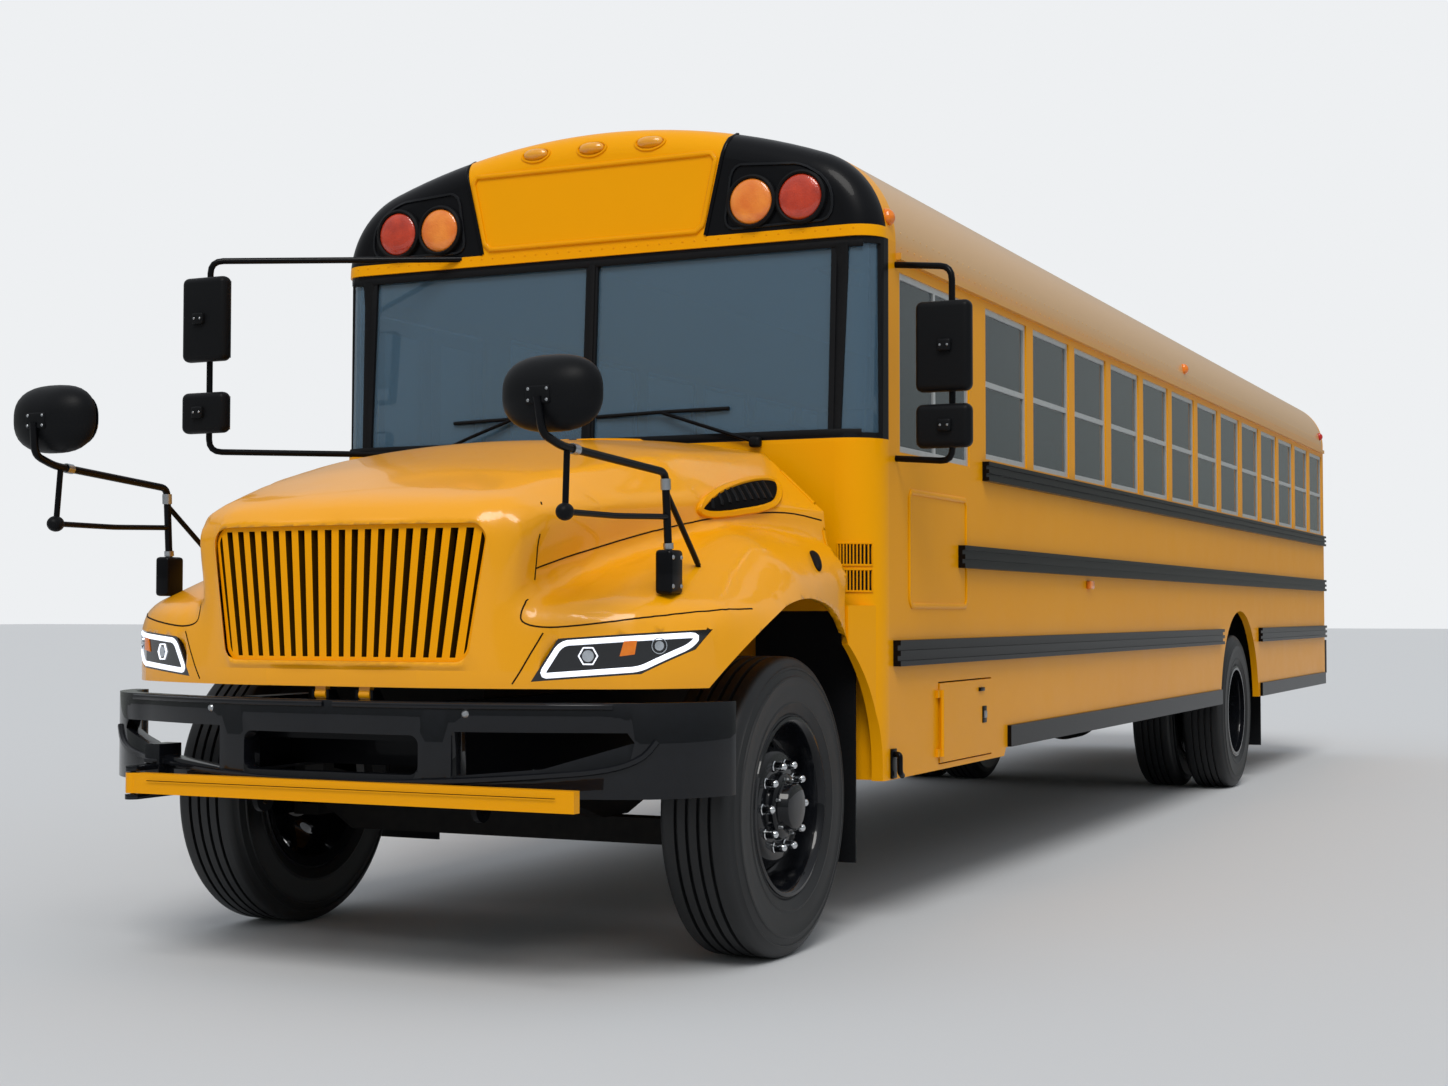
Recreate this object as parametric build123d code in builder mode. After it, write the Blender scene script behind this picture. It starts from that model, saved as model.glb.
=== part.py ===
from build123d import *
from math import cos, radians, sin, sqrt
import os

# A bonneted school bus, in millimetres. +X is forward, +Y is the driver's side and +Z is up.
# The origin lies on the ground below the middle of the whole vehicle. Stations such as
# HOOD_REAR count forward from the front axle, and ahead() turns them into model X.

os.makedirs("parts", exist_ok=True)

# Whole vehicle
FRONT_REACH = 1400.0
REAR_REACH = 11250.0
FRONT_AXLE_X = (REAR_REACH - FRONT_REACH) / 2
WHEELBASE = 7465.0
RUN = 5.0
FIT = 0.3


def ahead(station):
    return FRONT_AXLE_X + station


REAR_AXLE_X = ahead(-WHEELBASE)

# Tyres and wheels
TYRE_R = 508.0
TYRE_W = 270.0
TREAD_W = 214.0
SHOULDER_R = 480.0
BEAD_R = 289.0
RIM_W = 258.0
RIM_WALL = 14.0
FRONT_TYRE_Y = 977.0
DUAL_PITCH = 330.0
DUAL_Y = 868.0
DISC_T = 14.0
DISC_OUT = 84.0
HUB_R = 112.0
HUB_L = 70.0
PILOT_R = 110.0
STUD_PCD = 285.75
STUD_R = 11.0
STUD_OUT = 44.0
STUDS = 10
HAND_HOLES = 5
HAND_HOLE_R = 24.0
HAND_HOLE_PCD = 436.0
SPINDLE_R = 40.0
KINGPIN_Y = 850.0
KINGPIN_R = 24.0
BOSS_R = 40.0

# Chassis
RAIL_Y = 432.0
RAIL_TOP = 890.0
RAIL_H = 240.0
RAIL_FLANGE = 76.0
RAIL_T = 10.0
RAIL_FRONT = 985.0
RAIL_REAR = -11080.0
BEAM_H = 90.0
TOW_EYES = (880.0, -11020.0)
TOW_EYE_R = 45.0
TOW_R = 20.0
TOW_T = 20.0
TOW_Z = 550.0
AXLE_Z = 405.0
SPRING_W = 76.0

# Body shell
BODY_HALF = 1190.0
WALL = 42.0
BODY_BOTTOM = 580.0
FRONT_SKIRT_Z = 545.0
FRONT_SKIRT_END = -2140.0
FLOOR_TOP = 1020.0
FLOOR_T = 40.0
SILL_W = 60.0
EAVE_Z = 2490.0
ROOF_CREST = 3065.0
CROWN_R = 2800.0
CORNER_R = 360.0
CAP_REAR = -800.0
CAP_LOW = 2556.0
BODY_FRONT = -560.0
BODY_REAR = -11155.0
TAIL_LENGTH = 100.0
COWL_LAND = 8.0
COWL_TOP = 1790.0

# Side windows
BAY = 710.0
BAYS = 13
FIRST_PILLAR = -1846.0
PILLAR = 105.0
WINDOW_LOW = 1815.0
WINDOW_HIGH = 2460.0
SASH = 24.0
SASH_T = 24.0
GLASS_T = 6.0
DRIVER_WINDOW = (-1680.0, -840.0, 1768.0, 2450.0)

# Doors
DOORWAY_FRONT = -820.0
DOORWAY_REAR = -1680.0
DOORWAY_TOP = 2430.0
DOOR_T = 34.0
DOOR_GAP = 6.0
REAR_DOOR_W = 640.0
REAR_DOOR_TOP = 2440.0
HATCH = (-1960.0, -1273.0, 566.0, 891.0)

# Hood
HOOD_REAR = -460.0
HOOD_NOSE = 1045.0
HOOD_LOW = 930.0
HOOD_T = 24.0
HOOD_PIVOT_X = 1018.0
HOOD_PIVOT_Z = 905.0
FENDER_Y = 1190.0
GRILLE_TOP = 1440.0
GRILLE_LOW = 1010.0
GRILLE_HALF_TOP = 530.0
GRILLE_HALF_LOW = 462.0
GRILLE_CORNER = 52.0
GRILLE_RIM = 12.0
RIM_OUT = 7.0
BARS = 20
BAR_W = 26.0

# Bumper and crossing arm
BUMPER_NOSE = 1105.0
BUMPER_T = 56.0
BUMPER_LOW = 600.0
BUMPER_TOP = 890.0
ARM_PIVOT = (1132.0, -752.0)
ARM_Z = 608.0
ARM_H = 66.0
ARM_END = 905.0


def roof_arcs(inset):
    """Centres and radii of the crowned roof section, moved in by inset."""
    crown = CROWN_R - inset
    corner = CORNER_R - inset
    corner_y = BODY_HALF - CORNER_R
    centre_z = ROOF_CREST - CROWN_R
    corner_z = centre_z + sqrt((CROWN_R - CORNER_R) ** 2 - corner_y**2)
    share = corner_y / (CROWN_R - CORNER_R)
    rise = sqrt(1 - share**2)
    meet = (crown * share, centre_z + crown * rise)
    middle = (corner_y + corner * cos(radians(35)), corner_z + corner * sin(radians(35)))
    foot = (BODY_HALF - inset, corner_z)
    top = (0, ROOF_CREST - inset)
    left = (-meet[0], meet[1])
    return foot, middle, meet, top, left


def shell_section(plane, inset, low):
    """Closed cross-section of the body above low, as a sketch on plane."""
    foot, middle, meet, top, left = roof_arcs(inset)
    with BuildSketch(plane) as section:
        with BuildLine():
            Line((foot[0], low), foot)
            ThreePointArc(foot, middle, meet)
            ThreePointArc(meet, top, left)
            ThreePointArc(left, (-middle[0], middle[1]), (-foot[0], foot[1]))
            Line((-foot[0], foot[1]), (-foot[0], low))
            Line((-foot[0], low), (foot[0], low))
        make_face()
    return section.sketch


HINGE_R = 9.0
HINGE_PIN = 5.0
HINGE_END = 30.0
HINGE_OUT = 10.0


def hinge_pair(origin, leaf_way, inward, jamb, length):
    """Leaf half and fixed half of a pin hinge; the leaf's skin lies HINGE_OUT inward of the pin."""
    across = Vector(*leaf_way).cross(Vector(*inward))
    plane = Plane(origin=origin, x_dir=leaf_way, z_dir=across)
    end = length / 2 + 1 + HINGE_END / 2
    with BuildPart(plane) as leaf_half:
        Cylinder(HINGE_R, length)
        with Locations((20, (3 + HINGE_OUT) / 2, 0)):
            Box(40, HINGE_OUT - 3, length)
        Cylinder(HINGE_PIN + FIT, length + 2, mode=Mode.SUBTRACT)
    with BuildPart(plane) as fixed_half:
        Cylinder(HINGE_PIN, length + 2 * HINGE_END)
        for level in (1, -1):
            with Locations((0, 0, level * end)):
                Cylinder(HINGE_R, HINGE_END)
            with Locations((-22, (3 + jamb) / 2, level * end)):
                Box(36, jamb - 3, HINGE_END)
    return leaf_half.part, fixed_half.part


# Window stations, from the front of the bus: rear edge and front edge of each opening
windows = []
for bay in range(BAYS):
    front = FIRST_PILLAR - bay * BAY - PILLAR / 2
    windows.append((front - (BAY - PILLAR), front))

# chassis frame
SIDES = (1, -1)
MARKS = ((1, "left"), (-1, "right"))
for side, mark in MARKS:
    with BuildPart() as frame_rail:
        with BuildSketch(Plane.YZ.offset(ahead(RAIL_REAR))):
            with Locations((side * (RAIL_Y - RAIL_FLANGE / 2), RAIL_TOP - RAIL_H / 2)):
                Rectangle(RAIL_FLANGE, RAIL_H)
            with Locations((side * (RAIL_Y - RAIL_T - RAIL_FLANGE / 2), RAIL_TOP - RAIL_H / 2)):
                Rectangle(RAIL_FLANGE, RAIL_H - 2 * RAIL_T, mode=Mode.SUBTRACT)
        extrude(amount=RAIL_FRONT - RAIL_REAR)
        # Tow eyes below the rail's ends
        eye_y = side * (RAIL_Y - TOW_T / 2)
        eye_drop = RAIL_TOP - RAIL_H + 20 - TOW_Z
        for station in TOW_EYES:
            with Locations((ahead(station), eye_y, TOW_Z + eye_drop / 2)):
                Box(2 * TOW_EYE_R, TOW_T, eye_drop)
            with Locations((ahead(station), eye_y, TOW_Z)):
                Cylinder(TOW_EYE_R, TOW_T, rotation=(90, 0, 0))
                Cylinder(TOW_R, 3 * TOW_T, rotation=(90, 0, 0), mode=Mode.SUBTRACT)
    frame_rail.part.label = "frame_rail_" + mark
    export_step(frame_rail.part, "parts/frame_rail_" + mark + ".step")

# Box members between the rails' webs; the foremost carries the hood's hinge cheeks and pins
CROSSMEMBERS = (700.0, -330.0, -1500.0, -3300.0, -5200.0, -6900.0, -8050.0, -9600.0, -10900.0)
WEB_GAP = 2 * (RAIL_Y - RAIL_T)
with BuildPart() as crossmembers:
    for station in CROSSMEMBERS:
        with Locations((ahead(station), 0, RAIL_TOP - RAIL_H + 60)):
            Box(70, WEB_GAP, 100)
    with Locations((ahead(RAIL_FRONT) - 30, 0, RAIL_TOP - 80)):
        Box(60, WEB_GAP, 100)
    for side in SIDES:
        for cheek in (-28, 28):
            with BuildSketch(Plane.XZ.offset(-(side * 84 + cheek) - 5)):
                with BuildLine():
                    Polyline(
                        (ahead(RAIL_FRONT) - 55, RAIL_TOP - 50),
                        (ahead(HOOD_PIVOT_X) - 24, HOOD_PIVOT_Z + 14),
                        (ahead(HOOD_PIVOT_X) + 14, HOOD_PIVOT_Z + 14),
                        (ahead(HOOD_PIVOT_X) + 14, HOOD_PIVOT_Z - 18),
                        (ahead(RAIL_FRONT), RAIL_TOP - 50),
                        close=True,
                    )
                make_face()
            extrude(amount=10)
        with Locations((ahead(HOOD_PIVOT_X), side * 84, HOOD_PIVOT_Z)):
            Cylinder(8, 50, rotation=(90, 0, 0))
crossmembers.part.label = "crossmembers"
export_step(crossmembers.part, "parts/crossmembers.step")

CROSS_TOP = RAIL_TOP - RAIL_H + 110

with BuildPart() as engine_block:
    with Locations((ahead(90), 0, CROSS_TOP + 340)):
        Box(1080, 640, 680)
engine_block.part.label = "engine_block"
export_step(engine_block.part, "parts/engine_block.step")

RADIATOR_X = 700.0
RADIATOR_W = 690.0
with BuildPart() as radiator:
    with Locations((ahead(RADIATOR_X), 0, CROSS_TOP + 320)):
        Box(64, RADIATOR_W, 640)
    for side in SIDES:
        with Locations((ahead(RADIATOR_X), side * (RADIATOR_W / 2 - 25), CROSS_TOP + 320)):
            Box(84, 50, 640)
radiator.part.label = "radiator"
export_step(radiator.part, "parts/radiator.step")

with BuildPart() as driveline:
    with Locations((ahead(-450 - 380), 0, CROSS_TOP)):
        Box(760, 330, 300, align=(Align.CENTER, Align.CENTER, Align.MAX))
    shaft_start = ahead(-450 - 760)
    for radius, start, end in ((90, 0, 120), (52, 100, WHEELBASE - 1210 - 470)):
        with BuildSketch(Plane.YZ.offset(shaft_start - start)):
            with Locations((0, CROSS_TOP - 190)):
                Circle(radius)
        extrude(amount=-(end - start))
driveline.part.label = "driveline"
export_step(driveline.part, "parts/driveline.step")

# axles and springs
with BuildPart() as front_axle:
    with BuildSketch(Plane.YZ.offset(FRONT_AXLE_X - 45)):
        with BuildLine():
            Polyline(
                (-KINGPIN_Y + 10, TYRE_R + 60),
                (-KINGPIN_Y + 10, TYRE_R - 60),
                (-KINGPIN_Y + 60, TYRE_R - 60),
                (-KINGPIN_Y + 190, AXLE_Z - BEAM_H / 2),
                (KINGPIN_Y - 190, AXLE_Z - BEAM_H / 2),
                (KINGPIN_Y - 60, TYRE_R - 60),
                (KINGPIN_Y - 10, TYRE_R - 60),
                (KINGPIN_Y - 10, TYRE_R + 60),
                (KINGPIN_Y - 60, TYRE_R + 60),
                (KINGPIN_Y - 210, AXLE_Z + BEAM_H / 2),
                (-KINGPIN_Y + 210, AXLE_Z + BEAM_H / 2),
                (-KINGPIN_Y + 60, TYRE_R + 60),
                close=True,
            )
        make_face()
    extrude(amount=90)
    for side in SIDES:
        with Locations((FRONT_AXLE_X, side * KINGPIN_Y, TYRE_R)):
            Cylinder(BOSS_R, 120)
            Cylinder(KINGPIN_R, 200)
front_axle.part.label = "front_axle"
export_step(front_axle.part, "parts/front_axle.step")

with BuildPart() as rear_axle:
    with BuildSketch(Plane.XZ.offset(-560)):
        with Locations((REAR_AXLE_X, TYRE_R)):
            Circle(78)
    extrude(amount=1120)
    with Locations((REAR_AXLE_X, 0, TYRE_R)):
        Cylinder(215, 250, rotation=(0, 90, 0))
    with BuildSketch(Plane.XZ.offset(-1010)):
        with Locations((REAR_AXLE_X, TYRE_R)):
            Circle(SPINDLE_R + 12)
    extrude(amount=2020)
    with BuildSketch(Plane.YZ.offset(REAR_AXLE_X + 120)):
        with Locations((0, TYRE_R)):
            Circle(70)
    extrude(amount=215)
rear_axle.part.label = "rear_axle"
export_step(rear_axle.part, "parts/rear_axle.step")

# Leaf packs: axle centre, half length, pack height at the seat, seat height, hanger top
SPRINGS = (
    (FRONT_AXLE_X, 640, 60, AXLE_Z + BEAM_H / 2, RAIL_TOP - RAIL_H),
    (REAR_AXLE_X, 700, 54, TYRE_R + 78, RAIL_TOP - RAIL_H),
)
with BuildPart() as leaf_springs:
    for side in SIDES:
        for centre, half, pack, seat, hanger in SPRINGS:
            with BuildSketch(Plane.XZ.offset(-(side * (RAIL_Y - SPRING_W / 2) + SPRING_W / 2))):
                with BuildLine():
                    Polyline(
                        (centre - 90, seat),
                        (centre + 90, seat),
                        (centre + half, hanger - 34),
                        (centre + half, hanger),
                        (centre + half - 50, hanger),
                        (centre + half - 60, hanger - 18),
                        (centre + 60, seat + pack),
                        (centre - 60, seat + pack),
                        (centre - half + 60, hanger - 18),
                        (centre - half + 50, hanger),
                        (centre - half, hanger),
                        (centre - half, hanger - 34),
                        close=True,
                    )
                make_face()
            extrude(amount=SPRING_W)
leaf_springs.part.label = "leaf_springs"
export_step(leaf_springs.part, "parts/leaf_springs.step")

# Knuckles: a fork round the axle beam's end, with the wheel spindle on its outer side
for side, mark in MARKS:
    with BuildPart() as knuckle:
        for level in (1, -1):
            with Locations((FRONT_AXLE_X, side * KINGPIN_Y, TYRE_R + level * (60 + RUN + 20))):
                Box(100, 80, 40)
        with Locations((FRONT_AXLE_X, side * (KINGPIN_Y + 40 + RUN + 12), TYRE_R)):
            Box(100, 24, 2 * (60 + RUN + 40))
        for level in (1, -1):
            with Locations((FRONT_AXLE_X, side * (KINGPIN_Y + 50), TYRE_R + level * (60 + RUN + 20))):
                Box(100, 40, 40)
        with Locations((FRONT_AXLE_X, side * KINGPIN_Y, TYRE_R)):
            Cylinder(KINGPIN_R + FIT, 300, mode=Mode.SUBTRACT)
        spindle_start = KINGPIN_Y + 40 + RUN + 20
        spindle_end = FRONT_TYRE_Y + DISC_OUT + 10
        with Locations((FRONT_AXLE_X, side * (spindle_start + spindle_end) / 2, TYRE_R)):
            Cylinder(SPINDLE_R, spindle_end - spindle_start, rotation=(90, 0, 0))
    knuckle.part.label = "knuckle_" + mark
    export_step(knuckle.part, "parts/knuckle_" + mark + ".step")


def tyre_ring(centre_y, shoulders):
    """Half-section of a tyre about the wheel's axis, with a sloped shoulder on the sides given."""
    half = TYRE_W / 2
    with BuildSketch(Plane.XY) as ring:
        with Locations(((BEAD_R + TYRE_R) / 2, centre_y)):
            Rectangle(TYRE_R - BEAD_R, TYRE_W)
        for side in shoulders:
            with BuildLine():
                Polyline(
                    (TYRE_R, centre_y + side * TREAD_W / 2),
                    (SHOULDER_R, centre_y + side * half),
                    (TYRE_R + 1, centre_y + side * (half + 1)),
                    (TYRE_R + 1, centre_y + side * TREAD_W / 2),
                    close=True,
                )
            make_face(mode=Mode.SUBTRACT)
    return ring.sketch


def wheel_ring(centre_y, disc_y, face):
    """Half-section of a steel wheel: rim barrel with a plane disc whose outer face is at disc_y."""
    barrel_in = BEAD_R - RIM_WALL
    with BuildSketch(Plane.XY) as ring:
        with Locations((BEAD_R - RIM_WALL / 2, centre_y)):
            Rectangle(RIM_WALL, RIM_W)
        with Locations(((PILOT_R + barrel_in) / 2, disc_y - face * DISC_T / 2)):
            Rectangle(barrel_in - PILOT_R, DISC_T)
    return ring.sketch


def about_axle(sketch, axle_x):
    """Turn a half-section about the line along Y through the wheel's centre."""
    with BuildPart() as turned:
        revolve(sketch, axis=Axis.Y)
    return turned.part.moved(Location((axle_x, 0, TYRE_R)))


# Front wheels: disc near the outer side, hub through it
for side, mark in MARKS:
    with BuildPart() as tyre:
        add(about_axle(tyre_ring(side * FRONT_TYRE_Y, SIDES), FRONT_AXLE_X))
    tyre.part.label = "tyre_front_" + mark
    export_step(tyre.part, "parts/tyre_front_" + mark + ".step")

    disc_y = side * (FRONT_TYRE_Y + DISC_OUT)
    with BuildPart() as wheel:
        add(about_axle(wheel_ring(side * FRONT_TYRE_Y, disc_y, side), FRONT_AXLE_X))
        with Locations((FRONT_AXLE_X, disc_y - side * (DISC_T / 2 + 10), TYRE_R)):
            Cylinder(HUB_R, HUB_L + DISC_T + 30, rotation=(90, 0, 0))
            Cylinder(SPINDLE_R + FIT, 2 * HUB_L, rotation=(90, 0, 0), mode=Mode.SUBTRACT)
        with Locations((FRONT_AXLE_X, disc_y + side * 52, TYRE_R)):
            Cylinder(62, 44, rotation=(90, 0, 0))
        with Locations(Location((FRONT_AXLE_X, disc_y - side * DISC_T / 2, TYRE_R), (-side * 90, 0, 0))):
            with PolarLocations(HAND_HOLE_PCD / 2, HAND_HOLES, start_angle=18):
                Cylinder(HAND_HOLE_R, 2 * DISC_T, mode=Mode.SUBTRACT)
            with PolarLocations(STUD_PCD / 2, STUDS):
                Cylinder(STUD_R, STUD_OUT + DISC_T / 2, align=(Align.CENTER, Align.CENTER, Align.MIN))
    wheel.part.label = "wheel_front_" + mark
    export_step(wheel.part, "parts/wheel_front_" + mark + ".step")

# Twin rear wheels: two discs back to back on one hub
for side, mark in MARKS:
    with BuildPart() as tyre:
        for twin in (-1, 1):
            centre_y = side * (DUAL_Y + twin * DUAL_PITCH / 2)
            add(about_axle(tyre_ring(centre_y, (side * twin,)), REAR_AXLE_X))
    tyre.part.label = "tyres_rear_" + mark
    export_step(tyre.part, "parts/tyres_rear_" + mark + ".step")

    with BuildPart() as wheel:
        for twin in (-1, 1):
            rim_y = side * (DUAL_Y + twin * DUAL_PITCH / 2)
            disc_y = rim_y - side * twin * RIM_W / 2
            add(about_axle(wheel_ring(rim_y, disc_y, -side * twin), REAR_AXLE_X))
        with Locations((REAR_AXLE_X, side * (DUAL_Y + 30), TYRE_R)):
            Cylinder(HUB_R, 260, rotation=(90, 0, 0))
        with Locations((REAR_AXLE_X, side * (DUAL_Y + 20), TYRE_R)):
            Cylinder(SPINDLE_R + 12 + FIT, 250, rotation=(90, 0, 0), mode=Mode.SUBTRACT)
    wheel.part.label = "wheels_rear_" + mark
    export_step(wheel.part, "parts/wheels_rear_" + mark + ".step")

# floor
FLOOR_FRONT = -721.0
FLOOR_HALF = BODY_HALF - WALL
WELL_X = 690.0
WELL_TOP = 1176.0
WELL_IN = 540.0
STEP_DEPTH = 270.0
STEP_RISER = 12.0
step_front = ahead(DOORWAY_FRONT)
step_rear = ahead(DOORWAY_REAR)
step_mid = (step_front + step_rear) / 2
step_length = step_front - step_rear
with BuildPart() as floor:
    floor_length = FLOOR_FRONT - BODY_REAR - WALL
    with BuildSketch(Plane.XY.offset(FLOOR_TOP - FLOOR_T)):
        with Locations((ahead((FLOOR_FRONT + BODY_REAR + WALL) / 2), 0)):
            Rectangle(floor_length, 2 * FLOOR_HALF)
    extrude(amount=FLOOR_T)
    for bay in range(BAYS):
        with BuildSketch(Plane.XY.offset(RAIL_TOP)):
            with Locations((ahead(FIRST_PILLAR - bay * BAY), 0)):
                Rectangle(SILL_W, 2 * FLOOR_HALF)
        extrude(amount=FLOOR_TOP - FLOOR_T - RAIL_TOP)
    with BuildSketch(Plane.XY.offset(RAIL_TOP)):
        for side in SIDES:
            with Locations((REAR_AXLE_X, side * (WELL_IN + FLOOR_HALF) / 2)):
                Rectangle(2 * WELL_X, FLOOR_HALF - WELL_IN)
        with Locations((step_mid, -FLOOR_HALF + STEP_DEPTH + STEP_RISER / 2)):
            Rectangle(step_length + 2 * STEP_RISER, 2 * STEP_DEPTH + STEP_RISER)
    extrude(amount=FLOOR_TOP - RAIL_TOP, mode=Mode.SUBTRACT)
floor.part.label = "floor"
export_step(floor.part, "parts/floor.step")

# Pressed boxes over the rear wheels, open below and towards the wall
WELL_T = 12.0
with BuildPart() as wheelhouses:
    for side in SIDES:
        with BuildSketch(Plane.XY.offset(RAIL_TOP)):
            with Locations((REAR_AXLE_X, side * (WELL_IN + FLOOR_HALF) / 2)):
                Rectangle(2 * WELL_X, FLOOR_HALF - WELL_IN)
        extrude(amount=WELL_TOP + WELL_T - RAIL_TOP)
        with BuildSketch(Plane.XY.offset(RAIL_TOP)):
            with Locations((REAR_AXLE_X, side * (WELL_IN + FLOOR_HALF + WELL_T) / 2)):
                Rectangle(2 * (WELL_X - WELL_T), FLOOR_HALF - WELL_IN - WELL_T)
        extrude(amount=WELL_TOP - RAIL_TOP, mode=Mode.SUBTRACT)
wheelhouses.part.label = "wheelhouses"
export_step(wheelhouses.part, "parts/wheelhouses.step")

# Step well inside the entrance: two treads, two risers and a cheek at each end
with BuildPart() as step_well:
    step_half = (BODY_BOTTOM + STEP_RISER + FLOOR_TOP) / 2
    for step, height in enumerate((BODY_BOTTOM + STEP_RISER, step_half)):
        with BuildSketch(Plane.XZ.offset(FLOOR_HALF - (step + 1) * STEP_DEPTH)):
            with Locations((step_mid, height - STEP_RISER / 2)):
                Rectangle(step_length, STEP_RISER)
        extrude(amount=STEP_DEPTH)
    for start, way in ((step_front, 1), (step_rear, -1)):
        with BuildSketch(Plane.YZ.offset(start)):
            with BuildLine():
                Polyline(
                    (-FLOOR_HALF, BODY_BOTTOM),
                    (-FLOOR_HALF, FLOOR_TOP),
                    (-FLOOR_HALF + 2 * STEP_DEPTH + STEP_RISER, FLOOR_TOP),
                    (-FLOOR_HALF + 2 * STEP_DEPTH + STEP_RISER, step_half - STEP_RISER),
                    (-FLOOR_HALF + STEP_DEPTH + STEP_RISER, step_half - STEP_RISER),
                    (-FLOOR_HALF + STEP_DEPTH + STEP_RISER, BODY_BOTTOM),
                    close=True,
                )
            make_face()
        extrude(amount=way * STEP_RISER)
    for reach, low, high in (
        (STEP_DEPTH, BODY_BOTTOM, step_half),
        (2 * STEP_DEPTH, step_half - STEP_RISER, FLOOR_TOP),
    ):
        with BuildSketch(Plane.XZ.offset(FLOOR_HALF - reach - STEP_RISER)):
            with Locations((step_mid, (low + high) / 2)):
                Rectangle(step_length, high - low)
        extrude(amount=STEP_RISER)
step_well.part.label = "step_well"
export_step(step_well.part, "parts/step_well.step")

# side walls
LEAF_OUT = 8.0
LEAF_MEET = 14.0
LEAF_PIN_Y = BODY_HALF + LEAF_OUT + HINGE_OUT
LEAF_HINGE_Z = 1500.0
LEAF_HINGE_L = 1700.0
leaf_low = BODY_BOTTOM + DOOR_GAP
leaf_top = DOORWAY_TOP - DOOR_GAP
leaf_length = (DOORWAY_FRONT - DOORWAY_REAR - 2 * DOOR_GAP - LEAF_MEET) / 2
LEAVES = (
    ("entrance_leaf_front", DOORWAY_FRONT - DOOR_GAP - leaf_length / 2, 1),
    ("entrance_leaf_rear", DOORWAY_REAR + DOOR_GAP + leaf_length / 2, -1),
)
ARCH_R = 662.0
HATCH_OUT = 4.0
HATCH_PIN_Y = BODY_HALF + HATCH_OUT + HINGE_OUT
HATCH_HINGE_Z = 728.0
HATCH_HINGE_L = 200.0
WALL_FRONT = -721.0
WALL_REAR = BODY_REAR + TAIL_LENGTH
for side, name in ((1, "side_wall_left"), (-1, "side_wall_right")):
    outer = Plane.XZ.offset(-side * BODY_HALF)
    inward = side * WALL
    with BuildPart() as wall:
        with BuildSketch(outer):
            with BuildLine():
                Polyline(
                    (ahead(WALL_FRONT), FRONT_SKIRT_Z),
                    (ahead(WALL_FRONT), CAP_LOW),
                    (ahead(CAP_REAR), CAP_LOW),
                    (ahead(CAP_REAR), EAVE_Z),
                    (ahead(WALL_REAR), EAVE_Z),
                    (ahead(WALL_REAR), BODY_BOTTOM),
                    (ahead(FRONT_SKIRT_END) - 30, BODY_BOTTOM),
                    (ahead(FRONT_SKIRT_END), FRONT_SKIRT_Z),
                    close=True,
                )
            make_face()
            for low, high in windows:
                with Locations((ahead((low + high) / 2), (WINDOW_LOW + WINDOW_HIGH) / 2)):
                    Rectangle(high - low, WINDOW_HIGH - WINDOW_LOW, mode=Mode.SUBTRACT)
            with Locations((REAR_AXLE_X, TYRE_R + 6)):
                Circle(ARCH_R, mode=Mode.SUBTRACT)
            if side > 0:
                low, high, bottom, top = DRIVER_WINDOW
                with Locations((ahead((low + high) / 2), (bottom + top) / 2)):
                    Rectangle(high - low, top - bottom, mode=Mode.SUBTRACT)
                low, high, bottom, top = HATCH
                with Locations((ahead((low + high) / 2), (bottom + top) / 2)):
                    Rectangle(high - low, top - bottom, mode=Mode.SUBTRACT)
            else:
                with Locations((step_mid, (BODY_BOTTOM + DOORWAY_TOP) / 2)):
                    Rectangle(step_length, DOORWAY_TOP - BODY_BOTTOM, mode=Mode.SUBTRACT)
        extrude(amount=inward)
        # The sheet below the arch's spring line is cut back to the axle height
        with BuildSketch(outer):
            with Locations((REAR_AXLE_X, TYRE_R / 2)):
                Rectangle(2 * ARCH_R, TYRE_R + 12)
        extrude(amount=inward, mode=Mode.SUBTRACT)
        # Fixed halves of the door and hatch hinges
        if side < 0:
            for _, station, end in LEAVES:
                pin_x = ahead(station) + end * leaf_length / 2
                origin = (pin_x, -LEAF_PIN_Y, LEAF_HINGE_Z)
                jamb = LEAF_OUT + HINGE_OUT
                add(hinge_pair(origin, (-end, 0, 0), (0, 1, 0), jamb, LEAF_HINGE_L)[1])
        else:
            origin = (ahead(HATCH[1]) - DOOR_GAP, HATCH_PIN_Y, HATCH_HINGE_Z)
            jamb = HATCH_OUT + HINGE_OUT
            add(hinge_pair(origin, (-1, 0, 0), (0, -1, 0), jamb, HATCH_HINGE_L)[1])
    wall.part.label = name
    export_step(wall.part, "parts/" + name + ".step")
    if side > 0:
        side_wall_left = wall.part

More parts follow.
